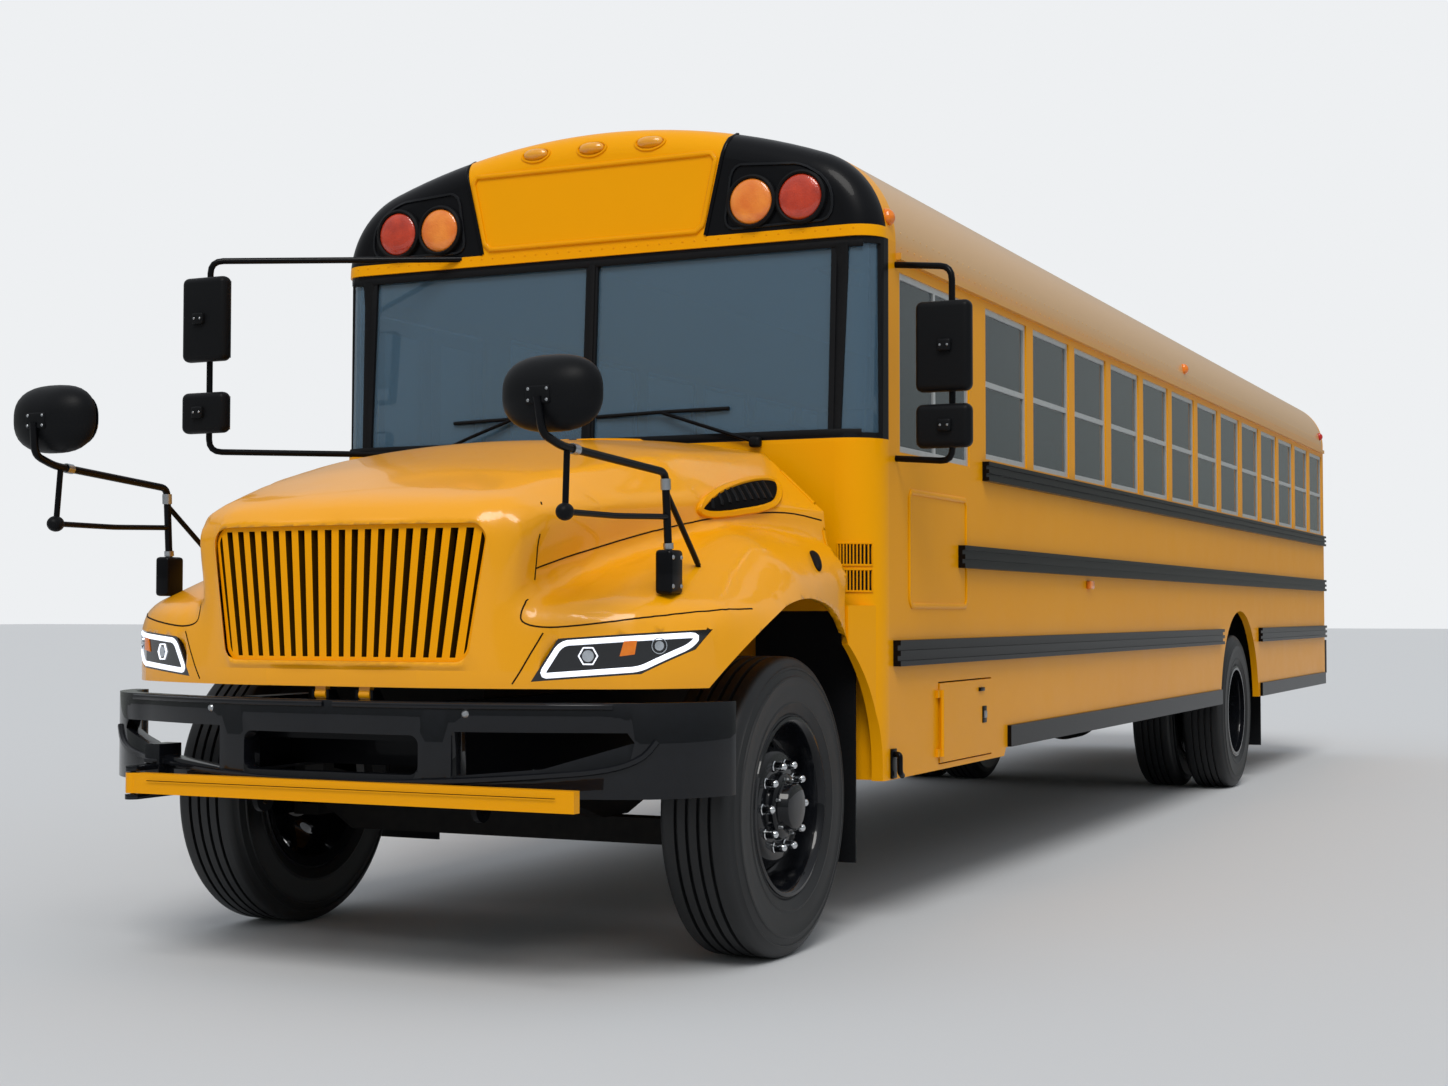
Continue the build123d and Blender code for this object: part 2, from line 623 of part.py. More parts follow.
# roof
DRIP_OUT = 22.0
DRIP_H = 26.0
ROOF_REAR = WALL_REAR
ROOF_HATCHES = (-3976.0, -8236.0)
ROOF_HATCH_L = 620.0
CURB_T = 18.0
CURB_DROP = 70.0
CURB_UP = 8.0
LID_HALF = ROOF_HATCH_L / 2 + CURB_T + 8
LID_Z = ROOF_CREST + CURB_UP + FIT
LID_T = 22.0
LID_HINGE_L = 400.0
with BuildPart() as roof:
    roof_start = Plane.YZ.offset(ahead(ROOF_REAR))
    extrude(shell_section(roof_start, 0, EAVE_Z), amount=CAP_REAR - ROOF_REAR)
    extrude(
        shell_section(roof_start, WALL, EAVE_Z), amount=CAP_REAR - ROOF_REAR, mode=Mode.SUBTRACT
    )
    for side in SIDES:
        with BuildSketch(Plane.YZ.offset(ahead(ROOF_REAR))):
            with Locations((side * (BODY_HALF + DRIP_OUT / 2), EAVE_Z + DRIP_H / 2)):
                Rectangle(DRIP_OUT, DRIP_H)
        extrude(amount=CAP_REAR - ROOF_REAR)
    for station in ROOF_HATCHES:
        with BuildSketch(Plane.XY.offset(ROOF_CREST - 150)):
            with Locations((ahead(station), 0)):
                Rectangle(ROOF_HATCH_L, ROOF_HATCH_L)
        extrude(amount=300, mode=Mode.SUBTRACT)
        with BuildSketch(Plane.XY.offset(ROOF_CREST - CURB_DROP)):
            with Locations((ahead(station), 0)):
                Rectangle(ROOF_HATCH_L + 2 * CURB_T, ROOF_HATCH_L + 2 * CURB_T)
                Rectangle(ROOF_HATCH_L, ROOF_HATCH_L, mode=Mode.SUBTRACT)
        extrude(amount=CURB_DROP + CURB_UP)
        origin = (ahead(station) + LID_HALF, 0, LID_Z + LID_T + HINGE_OUT)
        jamb = origin[2] - ROOF_CREST + 10
        add(hinge_pair(origin, (-1, 0, 0), (0, 0, -1), jamb, LID_HINGE_L)[1])
roof.part.label = "roof"
export_step(roof.part, "parts/roof.step")

# front cap and tail
CAP_FACE = -592.0
CAP_ROUND = 110.0
with BuildPart() as front_cap:
    extrude(
        shell_section(Plane.YZ.offset(ahead(CAP_REAR)), 0, CAP_LOW), amount=CAP_FACE - CAP_REAR
    )
    face = front_cap.faces().sort_by(Axis.X)[-1]
    fillet(face.edges().filter_by(lambda edge: edge.center().Z > CAP_LOW + 1), CAP_ROUND)
    extrude(
        shell_section(Plane.YZ.offset(ahead(CAP_REAR)), WALL, CAP_LOW),
        amount=CAP_FACE - CAP_REAR - WALL,
        mode=Mode.SUBTRACT,
    )
front_cap.part.label = "front_cap"
export_step(front_cap.part, "parts/front_cap.step")

TAIL_BEVEL = 38.0
REAR_OUT = 8.0
REAR_PIN_X = ahead(BODY_REAR) - REAR_OUT - HINGE_OUT
REAR_PIN_Y = -REAR_DOOR_W / 2 + DOOR_GAP
REAR_HINGE_Z = 1725.0
REAR_HINGE_L = 1180.0
TAIL_PANE = (440.0, 1040.0)
with BuildPart() as rear_wall:
    extrude(
        shell_section(Plane.YZ.offset(ahead(WALL_REAR)), 0, BODY_BOTTOM), amount=-TAIL_LENGTH
    )
    face = rear_wall.faces().sort_by(Axis.X)[0]
    chamfer(face.edges().filter_by(lambda edge: edge.center().Z > BODY_BOTTOM + 1), TAIL_BEVEL)
    extrude(
        shell_section(Plane.YZ.offset(ahead(WALL_REAR)), WALL, BODY_BOTTOM - 1),
        amount=-(TAIL_LENGTH - WALL),
        mode=Mode.SUBTRACT,
    )
    with BuildSketch(Plane.YZ.offset(ahead(BODY_REAR) - 1)):
        with Locations((0, (FLOOR_TOP + REAR_DOOR_TOP) / 2)):
            Rectangle(REAR_DOOR_W, REAR_DOOR_TOP - FLOOR_TOP)
        for side in SIDES:
            with Locations((side * sum(TAIL_PANE) / 2, (WINDOW_LOW + WINDOW_HIGH) / 2)):
                Rectangle(TAIL_PANE[1] - TAIL_PANE[0], WINDOW_HIGH - WINDOW_LOW)
            with Locations((side * (RAIL_Y - RAIL_FLANGE / 2), RAIL_TOP - RAIL_H / 2)):
                Rectangle(RAIL_FLANGE + 2 * RUN, RAIL_H)
    extrude(amount=WALL + 2, mode=Mode.SUBTRACT)
    rear_pin = (REAR_PIN_X, REAR_PIN_Y, REAR_HINGE_Z)
    add(hinge_pair(rear_pin, (0, 1, 0), (1, 0, 0), REAR_OUT + HINGE_OUT, REAR_HINGE_L)[1])
rear_wall.part.label = "rear_wall"
export_step(rear_wall.part, "parts/rear_wall.step")

# cowl and windscreen frame
SCREEN_LOW = 1826.0
SCREEN_TOP = 2530.0
SCREEN_POST = 26.0
SCREEN_DIVIDE = 1010.0
CORNER_PANE_IN = 1032.0
SCREEN_RAKE = 44.0
CORNER_FLATS = 6


def cowl_outline(plane, inset, front, flats=False):
    """Plan of the bus front: flat face, two corners, rounded or in even flats, and short sides."""
    half = BODY_HALF - inset
    nose = ahead(front) - inset
    corner = front - WALL_FRONT - COWL_LAND - inset
    back = ahead(WALL_FRONT)
    bend = []
    for step in range(CORNER_FLATS + 1):
        angle = radians(90 * step / CORNER_FLATS)
        bend.append((nose - corner * (1 - sin(angle)), half - corner * (1 - cos(angle))))
    with BuildSketch(plane) as plan:
        with BuildLine():
            Polyline(bend[0], (back, half), (back, -half), (bend[0][0], -half))
            Line((nose, -bend[-1][1]), bend[-1])
            for side in SIDES:
                points = [(along, side * across) for along, across in bend]
                if flats:
                    Polyline(*points)
                else:
                    ThreePointArc(points[0], points[CORNER_FLATS // 2], points[-1])
        make_face()
    return plan.sketch


TOE_IN = 600.0
SHELF_Z = 1170.0
SPLASH_Y = 1128.0
ARCH_LOW = 560.0
# The front wheel's arch, by station and height: rear foot, rear flank, crown, front flank, front foot
FRONT_ARCH = ((-668.0, ARCH_LOW), (-520.0, 995.0), (-110.0, 1200.0), (390.0, 1132.0), (668.0, 925.0))


def arch_profile(plane):
    """Front wheel arch in side view, closed well below its feet, as a sketch on plane."""
    low = ARCH_LOW - 100
    foot, flank, crown, shoulder, toe = [(ahead(station), height) for station, height in FRONT_ARCH]
    with BuildSketch(plane) as arch:
        with BuildLine():
            Line((foot[0], low), foot)
            ThreePointArc(foot, flank, crown)
            ThreePointArc(crown, shoulder, toe)
            Polyline(toe, (toe[0], low), (foot[0], low))
        make_face()
    return arch.sketch


with BuildPart() as front_cowl:
    for inset, mode in ((0, Mode.ADD), (WALL, Mode.SUBTRACT)):
        low_plan = cowl_outline(Plane.XY.offset(FRONT_SKIRT_Z), inset, BODY_FRONT)
        extrude(low_plan, amount=COWL_TOP - FRONT_SKIRT_Z, mode=mode)
        foot_plan = cowl_outline(Plane.XY.offset(COWL_TOP), inset, BODY_FRONT, True)
        head_plan = cowl_outline(Plane.XY.offset(CAP_LOW), inset, BODY_FRONT - SCREEN_RAKE, True)
        loft([foot_plan, head_plan], ruled=True, mode=mode)
    # Wheel room: the toe board steps back below the cowl
    with BuildSketch(Plane.XY.offset(FRONT_SKIRT_Z)):
        with Locations((ahead(WALL_FRONT) + 300, 0)):
            Rectangle(600, 2 * (BODY_HALF - WALL), align=(Align.CENTER, Align.CENTER))
    extrude(amount=SHELF_Z - FRONT_SKIRT_Z, mode=Mode.SUBTRACT)
    with BuildSketch(Plane.XY.offset(SHELF_Z)):
        with Locations((ahead((WALL_FRONT + BODY_FRONT - WALL) / 2), 0)):
            Rectangle(BODY_FRONT - WALL - WALL_FRONT + 2, 2 * (BODY_HALF - WALL))
    extrude(amount=20)
    with BuildSketch(Plane.XY.offset(RAIL_TOP + 8)):
        with Locations((ahead(WALL_FRONT) + 8, 0)):
            Rectangle(16, 2 * (BODY_HALF - WALL))
    extrude(amount=SHELF_Z + 20 - RAIL_TOP - 8)
    for side in SIDES:
        with BuildSketch(Plane.XY.offset(FRONT_SKIRT_Z)):
            with Locations((ahead(WALL_FRONT) + 8, side * (TOE_IN + BODY_HALF - WALL) / 2)):
                Rectangle(16, BODY_HALF - WALL - TOE_IN)
        extrude(amount=RAIL_TOP + 20 - FRONT_SKIRT_Z)
        # Splash panel behind the wheel, drawn in towards the hood's rear edge
        with BuildSketch(Plane.XY.offset(FRONT_SKIRT_Z)):
            with BuildLine():
                Polyline(
                    (ahead(WALL_FRONT), side * BODY_HALF),
                    (ahead(HOOD_REAR) - RUN - 1, side * SPLASH_Y),
                    (ahead(HOOD_REAR) - RUN - 1, side * (SPLASH_Y - 24)),
                    (ahead(WALL_FRONT), side * (BODY_HALF - WALL)),
                    close=True,
                )
            make_face()
        extrude(amount=SHELF_Z + 20 - FRONT_SKIRT_Z)
    extrude(
        arch_profile(Plane.XZ.offset(-BODY_HALF - 10)),
        amount=2 * BODY_HALF + 20,
        mode=Mode.SUBTRACT,
    )
    # Windscreen and corner pane openings
    with BuildSketch(Plane.YZ.offset(ahead(BODY_FRONT) - 110)):
        screen_middle = (SCREEN_LOW + SCREEN_TOP) / 2
        for side in SIDES:
            with Locations((side * (SCREEN_POST + SCREEN_DIVIDE) / 2, screen_middle)):
                Rectangle(SCREEN_DIVIDE - SCREEN_POST, SCREEN_TOP - SCREEN_LOW)
            with Locations((side * (CORNER_PANE_IN + BODY_HALF + 20) / 2, screen_middle)):
                Rectangle(BODY_HALF + 20 - CORNER_PANE_IN, SCREEN_TOP - SCREEN_LOW)
    extrude(amount=200, mode=Mode.SUBTRACT)
front_cowl.part.label = "front_cowl"
export_step(front_cowl.part, "parts/front_cowl.step")

# glass
GLASS_IN = 14.0
with BuildPart() as window_sashes:
    for side in SIDES:
        outer = Plane.XZ.offset(-side * (BODY_HALF - 8))
        inward = side * SASH_T
        for low, high in windows:
            middle = ahead((low + high) / 2)
            rise = (WINDOW_LOW + WINDOW_HIGH) / 2
            with BuildSketch(outer):
                with Locations((middle, rise)):
                    Rectangle(high - low, WINDOW_HIGH - WINDOW_LOW)
                    Rectangle(
                        high - low - 2 * SASH, WINDOW_HIGH - WINDOW_LOW - 2 * SASH, mode=Mode.SUBTRACT
                    )
            extrude(amount=inward)
            with BuildSketch(outer):
                with Locations((middle, rise)):
                    Rectangle(high - low - SASH, SASH)
            extrude(amount=side * (SASH_T - 10 - GLASS_T))
    low, high, bottom, top = DRIVER_WINDOW
    with BuildSketch(Plane.XZ.offset(-(BODY_HALF - 8))):
        with Locations((ahead((low + high) / 2), (bottom + top) / 2)):
            Rectangle(high - low, top - bottom)
            Rectangle(high - low - 2 * SASH, top - bottom - 2 * SASH, mode=Mode.SUBTRACT)
    extrude(amount=SASH_T)
    with BuildSketch(Plane.XZ.offset(-(BODY_HALF - 8))):
        with Locations((ahead((low + high) / 2), (bottom + top) / 2)):
            Rectangle(SASH, top - bottom - SASH)
    extrude(amount=SASH_T - 10 - GLASS_T)
window_sashes.part.label = "window_sashes"
export_step(window_sashes.part, "parts/window_sashes.step")

with BuildPart() as window_glass:
    for side in SIDES:
        pane_face = Plane.XZ.offset(-side * (BODY_HALF - 8 - (SASH_T - 10 - GLASS_T)))
        for low, high in windows:
            with BuildSketch(pane_face):
                with Locations((ahead((low + high) / 2), (WINDOW_LOW + WINDOW_HIGH) / 2)):
                    Rectangle(high - low - 2 * SASH, WINDOW_HIGH - WINDOW_LOW - 2 * SASH)
            extrude(amount=side * GLASS_T)
        with BuildSketch(Plane.YZ.offset(ahead(BODY_REAR) + 10)):
            with Locations((side * sum(TAIL_PANE) / 2, (WINDOW_LOW + WINDOW_HIGH) / 2)):
                Rectangle(TAIL_PANE[1] - TAIL_PANE[0], WINDOW_HIGH - WINDOW_LOW)
        extrude(amount=GLASS_T)
    low, high, bottom, top = DRIVER_WINDOW
    with BuildSketch(Plane.XZ.offset(-(BODY_HALF - 8 - (SASH_T - 10 - GLASS_T)))):
        with Locations((ahead((low + high) / 2), (bottom + top) / 2)):
            Rectangle(high - low - 2 * SASH, top - bottom - 2 * SASH)
    extrude(amount=GLASS_T)
window_glass.part.label = "window_glass"
export_step(window_glass.part, "parts/window_glass.step")

with BuildPart() as windscreen:
    for inset, mode in ((GLASS_IN, Mode.ADD), (GLASS_IN + GLASS_T, Mode.SUBTRACT)):
        foot_plan = cowl_outline(Plane.XY.offset(COWL_TOP), inset, BODY_FRONT, True)
        head_plan = cowl_outline(Plane.XY.offset(CAP_LOW), inset, BODY_FRONT - SCREEN_RAKE, True)
        loft([foot_plan, head_plan], ruled=True, mode=mode)
    with BuildSketch(Plane.YZ.offset(ahead(BODY_FRONT) - 110)):
        screen_middle = (SCREEN_LOW + SCREEN_TOP) / 2
        for side in SIDES:
            with Locations((side * (SCREEN_POST + SCREEN_DIVIDE) / 2, screen_middle)):
                Rectangle(SCREEN_DIVIDE - SCREEN_POST, SCREEN_TOP - SCREEN_LOW)
            with Locations((side * (CORNER_PANE_IN + BODY_HALF + 20) / 2, screen_middle)):
                Rectangle(BODY_HALF + 20 - CORNER_PANE_IN, SCREEN_TOP - SCREEN_LOW)
    extrude(amount=200, mode=Mode.INTERSECT)
windscreen.part.label = "windscreen"
export_step(windscreen.part, "parts/windscreen.step")

# rub rails and skirt strips
RAIL_OUT = 30.0
# Columns: low edge, high edge, front end, rear end, ribs; the right side starts behind the door
RUB_RAILS = (
    (1719.0, 1801.0, -1850.0, WALL_REAR, 2),
    (1346.0, 1438.0, -1527.0, WALL_REAR, 2),
    (964.0, 1061.0, -763.0, -6800.0, 2),
    (964.0, 1061.0, -8130.0, WALL_REAR, 2),
    (582.0, 675.0, -2190.0, -6780.0, 0),
    (582.0, 675.0, -8180.0, WALL_REAR, 0),
)
with BuildPart() as rub_rails:
    for side in SIDES:
        for low, high, front, rear, ribs in RUB_RAILS:
            start = front if side > 0 else min(front, DOORWAY_REAR - 60)
            rib = (high - low) / 5
            with BuildSketch(Plane.YZ.offset(ahead(rear))):
                with Locations((side * (BODY_HALF + 9), (low + high) / 2)):
                    Rectangle(18, high - low)
                for count in range(ribs + 1 if ribs else 0):
                    with Locations((side * (BODY_HALF + RAIL_OUT / 2), low + rib / 2 + count * 2 * rib)):
                        Rectangle(RAIL_OUT, rib)
            extrude(amount=start - rear)
rub_rails.part.label = "rub_rails"
export_step(rub_rails.part, "parts/rub_rails.step")

# doors and hatches
# Entrance door: two leaves that swing outward from the doorway's ends
LEAF_FRAME = 62.0
LEAF_PANES = ((leaf_low + 90, 1290.0), (1370.0, leaf_top - 62))
for name, station, end in LEAVES:
    with BuildPart() as leaf:
        with BuildSketch(Plane.XZ.offset(BODY_HALF + LEAF_OUT)):
            with Locations((ahead(station), (leaf_low + leaf_top) / 2)):
                Rectangle(leaf_length, leaf_top - leaf_low)
            for low, high in LEAF_PANES:
                with Locations((ahead(station), (low + high) / 2)):
                    Rectangle(leaf_length - 2 * LEAF_FRAME, high - low, mode=Mode.SUBTRACT)
        extrude(amount=-DOOR_T)
        pin_x = ahead(station) + end * leaf_length / 2
        origin = (pin_x, -LEAF_PIN_Y, LEAF_HINGE_Z)
        add(hinge_pair(origin, (-end, 0, 0), (0, 1, 0), HINGE_R, LEAF_HINGE_L)[0])
    leaf.part.label = name
    export_step(leaf.part, "parts/" + name + ".step")
    with BuildPart() as pane:
        with BuildSketch(Plane.XZ.offset(BODY_HALF + LEAF_OUT - 14)):
            for low, high in LEAF_PANES:
                with Locations((ahead(station), (low + high) / 2)):
                    Rectangle(leaf_length - 2 * LEAF_FRAME, high - low)
        extrude(amount=-GLASS_T)
    pane.part.label = name + "_glass"
    export_step(pane.part, "parts/" + name + "_glass.step")

# Emergency door in the rear wall
REAR_PANES = ((1240.0, 1640.0), (1760.0, 2330.0))
REAR_FRAME = 70.0
with BuildPart() as rear_door:
    with BuildSketch(Plane.YZ.offset(ahead(BODY_REAR) - REAR_OUT)):
        with Locations((0, (FLOOR_TOP + REAR_DOOR_TOP) / 2)):
            Rectangle(REAR_DOOR_W - 2 * DOOR_GAP, REAR_DOOR_TOP - FLOOR_TOP - 2 * DOOR_GAP)
        for low, high in REAR_PANES:
            with Locations((0, (low + high) / 2)):
                Rectangle(REAR_DOOR_W - 2 * DOOR_GAP - 2 * REAR_FRAME, high - low, mode=Mode.SUBTRACT)
    extrude(amount=DOOR_T)
    add(hinge_pair(rear_pin, (0, 1, 0), (1, 0, 0), HINGE_R, REAR_HINGE_L)[0])
rear_door.part.label = "rear_door"
export_step(rear_door.part, "parts/rear_door.step")
with BuildPart() as rear_door_glass:
    with BuildSketch(Plane.YZ.offset(ahead(BODY_REAR) + 6)):
        for low, high in REAR_PANES:
            with Locations((0, (low + high) / 2)):
                Rectangle(REAR_DOOR_W - 2 * DOOR_GAP - 2 * REAR_FRAME, high - low)
    extrude(amount=GLASS_T)
rear_door_glass.part.label = "rear_door_glass"
export_step(rear_door_glass.part, "parts/rear_door_glass.step")

# Battery hatch in the left skirt
with BuildPart() as battery_hatch:
    low, high, bottom, top = HATCH
    with BuildSketch(Plane.XZ.offset(-(BODY_HALF + HATCH_OUT))):
        with Locations((ahead((low + high) / 2), (bottom + top) / 2)):
            Rectangle(high - low - 2 * DOOR_GAP, top - bottom - 2 * DOOR_GAP)
    extrude(amount=24)
    origin = (ahead(high) - DOOR_GAP, HATCH_PIN_Y, HATCH_HINGE_Z)
    add(hinge_pair(origin, (-1, 0, 0), (0, -1, 0), HINGE_R, HATCH_HINGE_L)[0])
battery_hatch.part.label = "battery_hatch"
export_step(battery_hatch.part, "parts/battery_hatch.step")

# Roof hatch lids, hinged along their front edge on a curb
for count, station in enumerate(ROOF_HATCHES):
    name = ("roof_hatch_front", "roof_hatch_rear")[count]
    with BuildPart() as lid:
        with BuildSketch(Plane.XY.offset(LID_Z)):
            with Locations((ahead(station), 0)):
                Rectangle(2 * LID_HALF, 2 * LID_HALF)
        extrude(amount=LID_T)
        chamfer(lid.faces().sort_by(Axis.Z)[-1].edges(), 12)
        origin = (ahead(station) + LID_HALF, 0, LID_Z + LID_T + HINGE_OUT)
        add(hinge_pair(origin, (-1, 0, 0), (0, 0, -1), HINGE_R, LID_HINGE_L)[0])
    lid.part.label = name
    export_step(lid.part, "parts/" + name + ".step")

# hood, grille and headlights
# Nose sections. Columns: station, crown height, crown end Y, Z, shoulder Y, Z, base Y
NOSE = (
    (HOOD_REAR, 1826.0, 800.0, 1748.0, 1035.0, 1530.0, 1090.0),
    (150.0, 1776.0, 700.0, 1716.0, 866.0, 1545.0, 640.0),
    (650.0, 1655.0, 585.0, 1615.0, 728.0, 1512.0, 560.0),
    (960.0, 1548.0, 520.0, 1526.0, 652.0, 1470.0, 545.0),
    (HOOD_NOSE, 1492.0, 470.0, 1476.0, 590.0, 1420.0, 520.0),
)
# Fender sections. Columns: station, inner Y, inner Z, mid Y, Z, outer Y, edge Z
FENDER = (
    (HOOD_REAR, 900.0, 1500.0, 1060.0, 1400.0, 1150.0, 1200.0),
    (100.0, 800.0, 1470.0, 1060.0, 1375.0, 1215.0, 1185.0),
    (600.0, 600.0, 1330.0, 960.0, 1260.0, 1215.0, 1120.0),
    (HOOD_NOSE, 420.0, 1150.0, 800.0, 1140.0, 1215.0, 1080.0),
)


def hood_plan(plane, inset):
    """Plan outline of hood and fenders, moved in by inset."""
    flank = FENDER_Y - inset
    with BuildSketch(plane) as plan:
        with BuildLine():
            for side in SIDES:
                Polyline((ahead(HOOD_REAR) - 400, 0), (ahead(HOOD_REAR) - 400, side * (flank - 62)))
                Line((ahead(HOOD_REAR) - 400, side * (flank - 62)), (ahead(HOOD_REAR), side * (flank - 62)))
                ThreePointArc(
                    (ahead(HOOD_REAR), side * (flank - 62)),
                    (ahead(-100), side * (flank - 16)),
                    (ahead(250), side * flank),
                )
                ThreePointArc(
                    (ahead(250), side * flank),
                    (ahead(640) - inset / 2, side * (flank - 66)),
                    (ahead(860) - inset, side * (940 - inset / 2)),
                )
                ThreePointArc(
                    (ahead(860) - inset, side * (940 - inset / 2)),
                    (ahead(985) - inset, side * 620),
                    (ahead(HOOD_NOSE) - inset, 0),
                )
        make_face()
    return plan.sketch


def hood_form(inset):
    """Solid of hood and fenders, moved in by inset; the shell is the difference of two."""
    low = HOOD_LOW if inset == 0 else HOOD_LOW - 200
    back = 0 if inset == 0 else -100
    with BuildPart() as nose:
        sections = []
        for row, (station, top, y1, z1, y2, z2, base) in enumerate(NOSE):
            place = ahead(station) + (back if row == 0 else 0)
            with BuildSketch(Plane.YZ.offset(place)) as section:
                with BuildLine():
                    ThreePointArc((-y1 + inset / 2, z1 - inset), (0, top - inset), (y1 - inset / 2, z1 - inset))
                    for side in SIDES:
                        Polyline(
                            (side * (y1 - inset / 2), z1 - inset),
                            (side * (y2 - inset), z2 - inset / 2),
                            (side * (base - inset), low),
                        )
                    Line((-base + inset, low), (base - inset, low))
                make_face()
            sections.append(section.sketch)
        loft(sections, ruled=True)
    with BuildPart() as fenders:
        for side in SIDES:
            sections = []
            for row, (station, y0, z0, y1, z1, y2, z2) in enumerate(FENDER):
                place = ahead(station) + (back if row == 0 else 0)
                with BuildSketch(Plane.YZ.offset(place)) as section:
                    with BuildLine():
                        Line((side * 300, low), (side * 300, z0 - inset))
                        Line((side * 300, z0 - inset), (side * y0, z0 - inset))
                        ThreePointArc(
                            (side * y0, z0 - inset),
                            (side * (y1 - inset / 2), z1 - inset / 2),
                            (side * (y2 - inset), z2),
                        )
                        Line((side * (y2 - inset), z2), (side * (y2 - inset), low))
                        Line((side * (y2 - inset), low), (side * 300, low))
                    make_face()
                sections.append(section.sketch)
            loft(sections, ruled=True)
    with BuildPart() as form:
        add(nose.part)
        add(fenders.part)
        extrude(
            hood_plan(Plane.XY.offset(HOOD_LOW - 300), inset), amount=1400, mode=Mode.INTERSECT
        )
    return form.part


outer_form = hood_form(0)
inner_form = hood_form(HOOD_T)



def grille_opening(plane, inset):
    """Outline of the grille's opening in front view, moved in by inset, with rounded corners."""
    top = GRILLE_TOP - inset
    low = GRILLE_LOW + inset
    with BuildSketch(plane) as opening:
        with BuildLine():
            Polyline(
                (-GRILLE_HALF_TOP + inset, top),
                (GRILLE_HALF_TOP - inset, top),
                (GRILLE_HALF_LOW - inset, low),
                (-GRILLE_HALF_LOW + inset, low),
                close=True,
            )
        make_face()
        fillet(opening.vertices(), GRILLE_CORNER - inset)
    return opening.sketch


with BuildPart() as grille_rim:
    extrude(grille_opening(Plane.YZ.offset(ahead(HOOD_NOSE) - 200), -GRILLE_RIM), amount=240)
    extrude(
        grille_opening(Plane.YZ.offset(ahead(HOOD_NOSE) - 200), 0), amount=240, mode=Mode.SUBTRACT
    )
    extrude(hood_plan(Plane.XY.offset(HOOD_LOW), -RIM_OUT), amount=700, mode=Mode.INTERSECT)
    extrude(hood_plan(Plane.XY.offset(HOOD_LOW), HOOD_T), amount=700, mode=Mode.SUBTRACT)

# Headlight outline in front view, for the left side
LAMP = ((655.0, 952.0), (735.0, 1084.0), (1118.0, 1112.0), (1085.0, 1050.0), (965.0, 976.0))
with BuildPart() as hood:
    add(outer_form)
    add(inner_form, mode=Mode.SUBTRACT)
    extrude(
        arch_profile(Plane.XZ.offset(-BODY_HALF - 40)),
        amount=2 * BODY_HALF + 80,
        mode=Mode.SUBTRACT,
    )
    extrude(grille_opening(Plane.YZ.offset(ahead(HOOD_NOSE) - 200), 0), amount=220, mode=Mode.SUBTRACT)
    add(grille_rim.part)
    for side in SIDES:
        with BuildSketch(Plane.YZ.offset(ahead(500))):
            with BuildLine():
                Polyline([(side * across, height) for across, height in LAMP], close=True)
            make_face()
        extrude(amount=600, mode=Mode.SUBTRACT)
        # Hinge eye below the nose lip
        with BuildSketch(Plane.XZ.offset(-side * 84 - 20)):
            with Locations((ahead(HOOD_PIVOT_X), HOOD_PIVOT_Z)):
                Circle(17)
            with Locations((ahead(HOOD_PIVOT_X) + 1, (HOOD_PIVOT_Z + HOOD_LOW + 8) / 2)):
                Rectangle(24, HOOD_LOW + 8 - HOOD_PIVOT_Z)
            with Locations((ahead(HOOD_PIVOT_X), HOOD_PIVOT_Z)):
                Circle(8 + FIT, mode=Mode.SUBTRACT)
        extrude(amount=40)
hood.part.label = "hood"
export_step(hood.part, "parts/hood.step")

# Upright bars between the opening's top and bottom edges, on a thin frame
GRILLE_FRAME = 14.0
BAR_IN = 8.0
BAR_DEPTH = 34.0
grille_plane = Plane.YZ.offset(ahead(HOOD_NOSE) - 250)
with BuildPart() as frame_ring:
    extrude(grille_opening(grille_plane, FIT), amount=300)
    extrude(grille_opening(grille_plane, GRILLE_FRAME), amount=300, mode=Mode.SUBTRACT)
with BuildPart() as grille:
    with BuildSketch(grille_plane):
        for bar in range(BARS):
            share = (bar + 0.5) / BARS * 2 - 1
            high_y = share * (GRILLE_HALF_TOP - GRILLE_FRAME)
            low_y = share * (GRILLE_HALF_LOW - GRILLE_FRAME)
            with BuildLine():
                Polyline(
                    (high_y - BAR_W / 2, GRILLE_TOP),
                    (high_y + BAR_W / 2, GRILLE_TOP),
                    (low_y + BAR_W / 2, GRILLE_LOW),
                    (low_y - BAR_W / 2, GRILLE_LOW),
                    close=True,
                )
            make_face()
    extrude(amount=300)
    extrude(grille_opening(grille_plane, GRILLE_FRAME / 2), amount=300, mode=Mode.INTERSECT)
    add(frame_ring.part)
    extrude(hood_plan(Plane.XY.offset(HOOD_LOW), BAR_IN), amount=700, mode=Mode.INTERSECT)
    extrude(hood_plan(Plane.XY.offset(HOOD_LOW), BAR_IN + BAR_DEPTH), amount=700, mode=Mode.SUBTRACT)
grille.part.label = "grille"
export_step(grille.part, "parts/grille.step")

LAMP_DEPTH = 70.0
with BuildPart() as headlights:
    for side in SIDES:
        with BuildSketch(Plane.YZ.offset(ahead(500))):
            with BuildLine():
                Polyline([(side * across, height) for across, height in LAMP], close=True)
            make_face()
        extrude(amount=600)
    extrude(hood_plan(Plane.XY.offset(HOOD_LOW), 2), amount=300, mode=Mode.INTERSECT)
    extrude(hood_plan(Plane.XY.offset(HOOD_LOW), LAMP_DEPTH), amount=300, mode=Mode.SUBTRACT)
headlights.part.label = "headlights"
export_step(headlights.part, "parts/headlights.step")

# bumpers and crossing arm


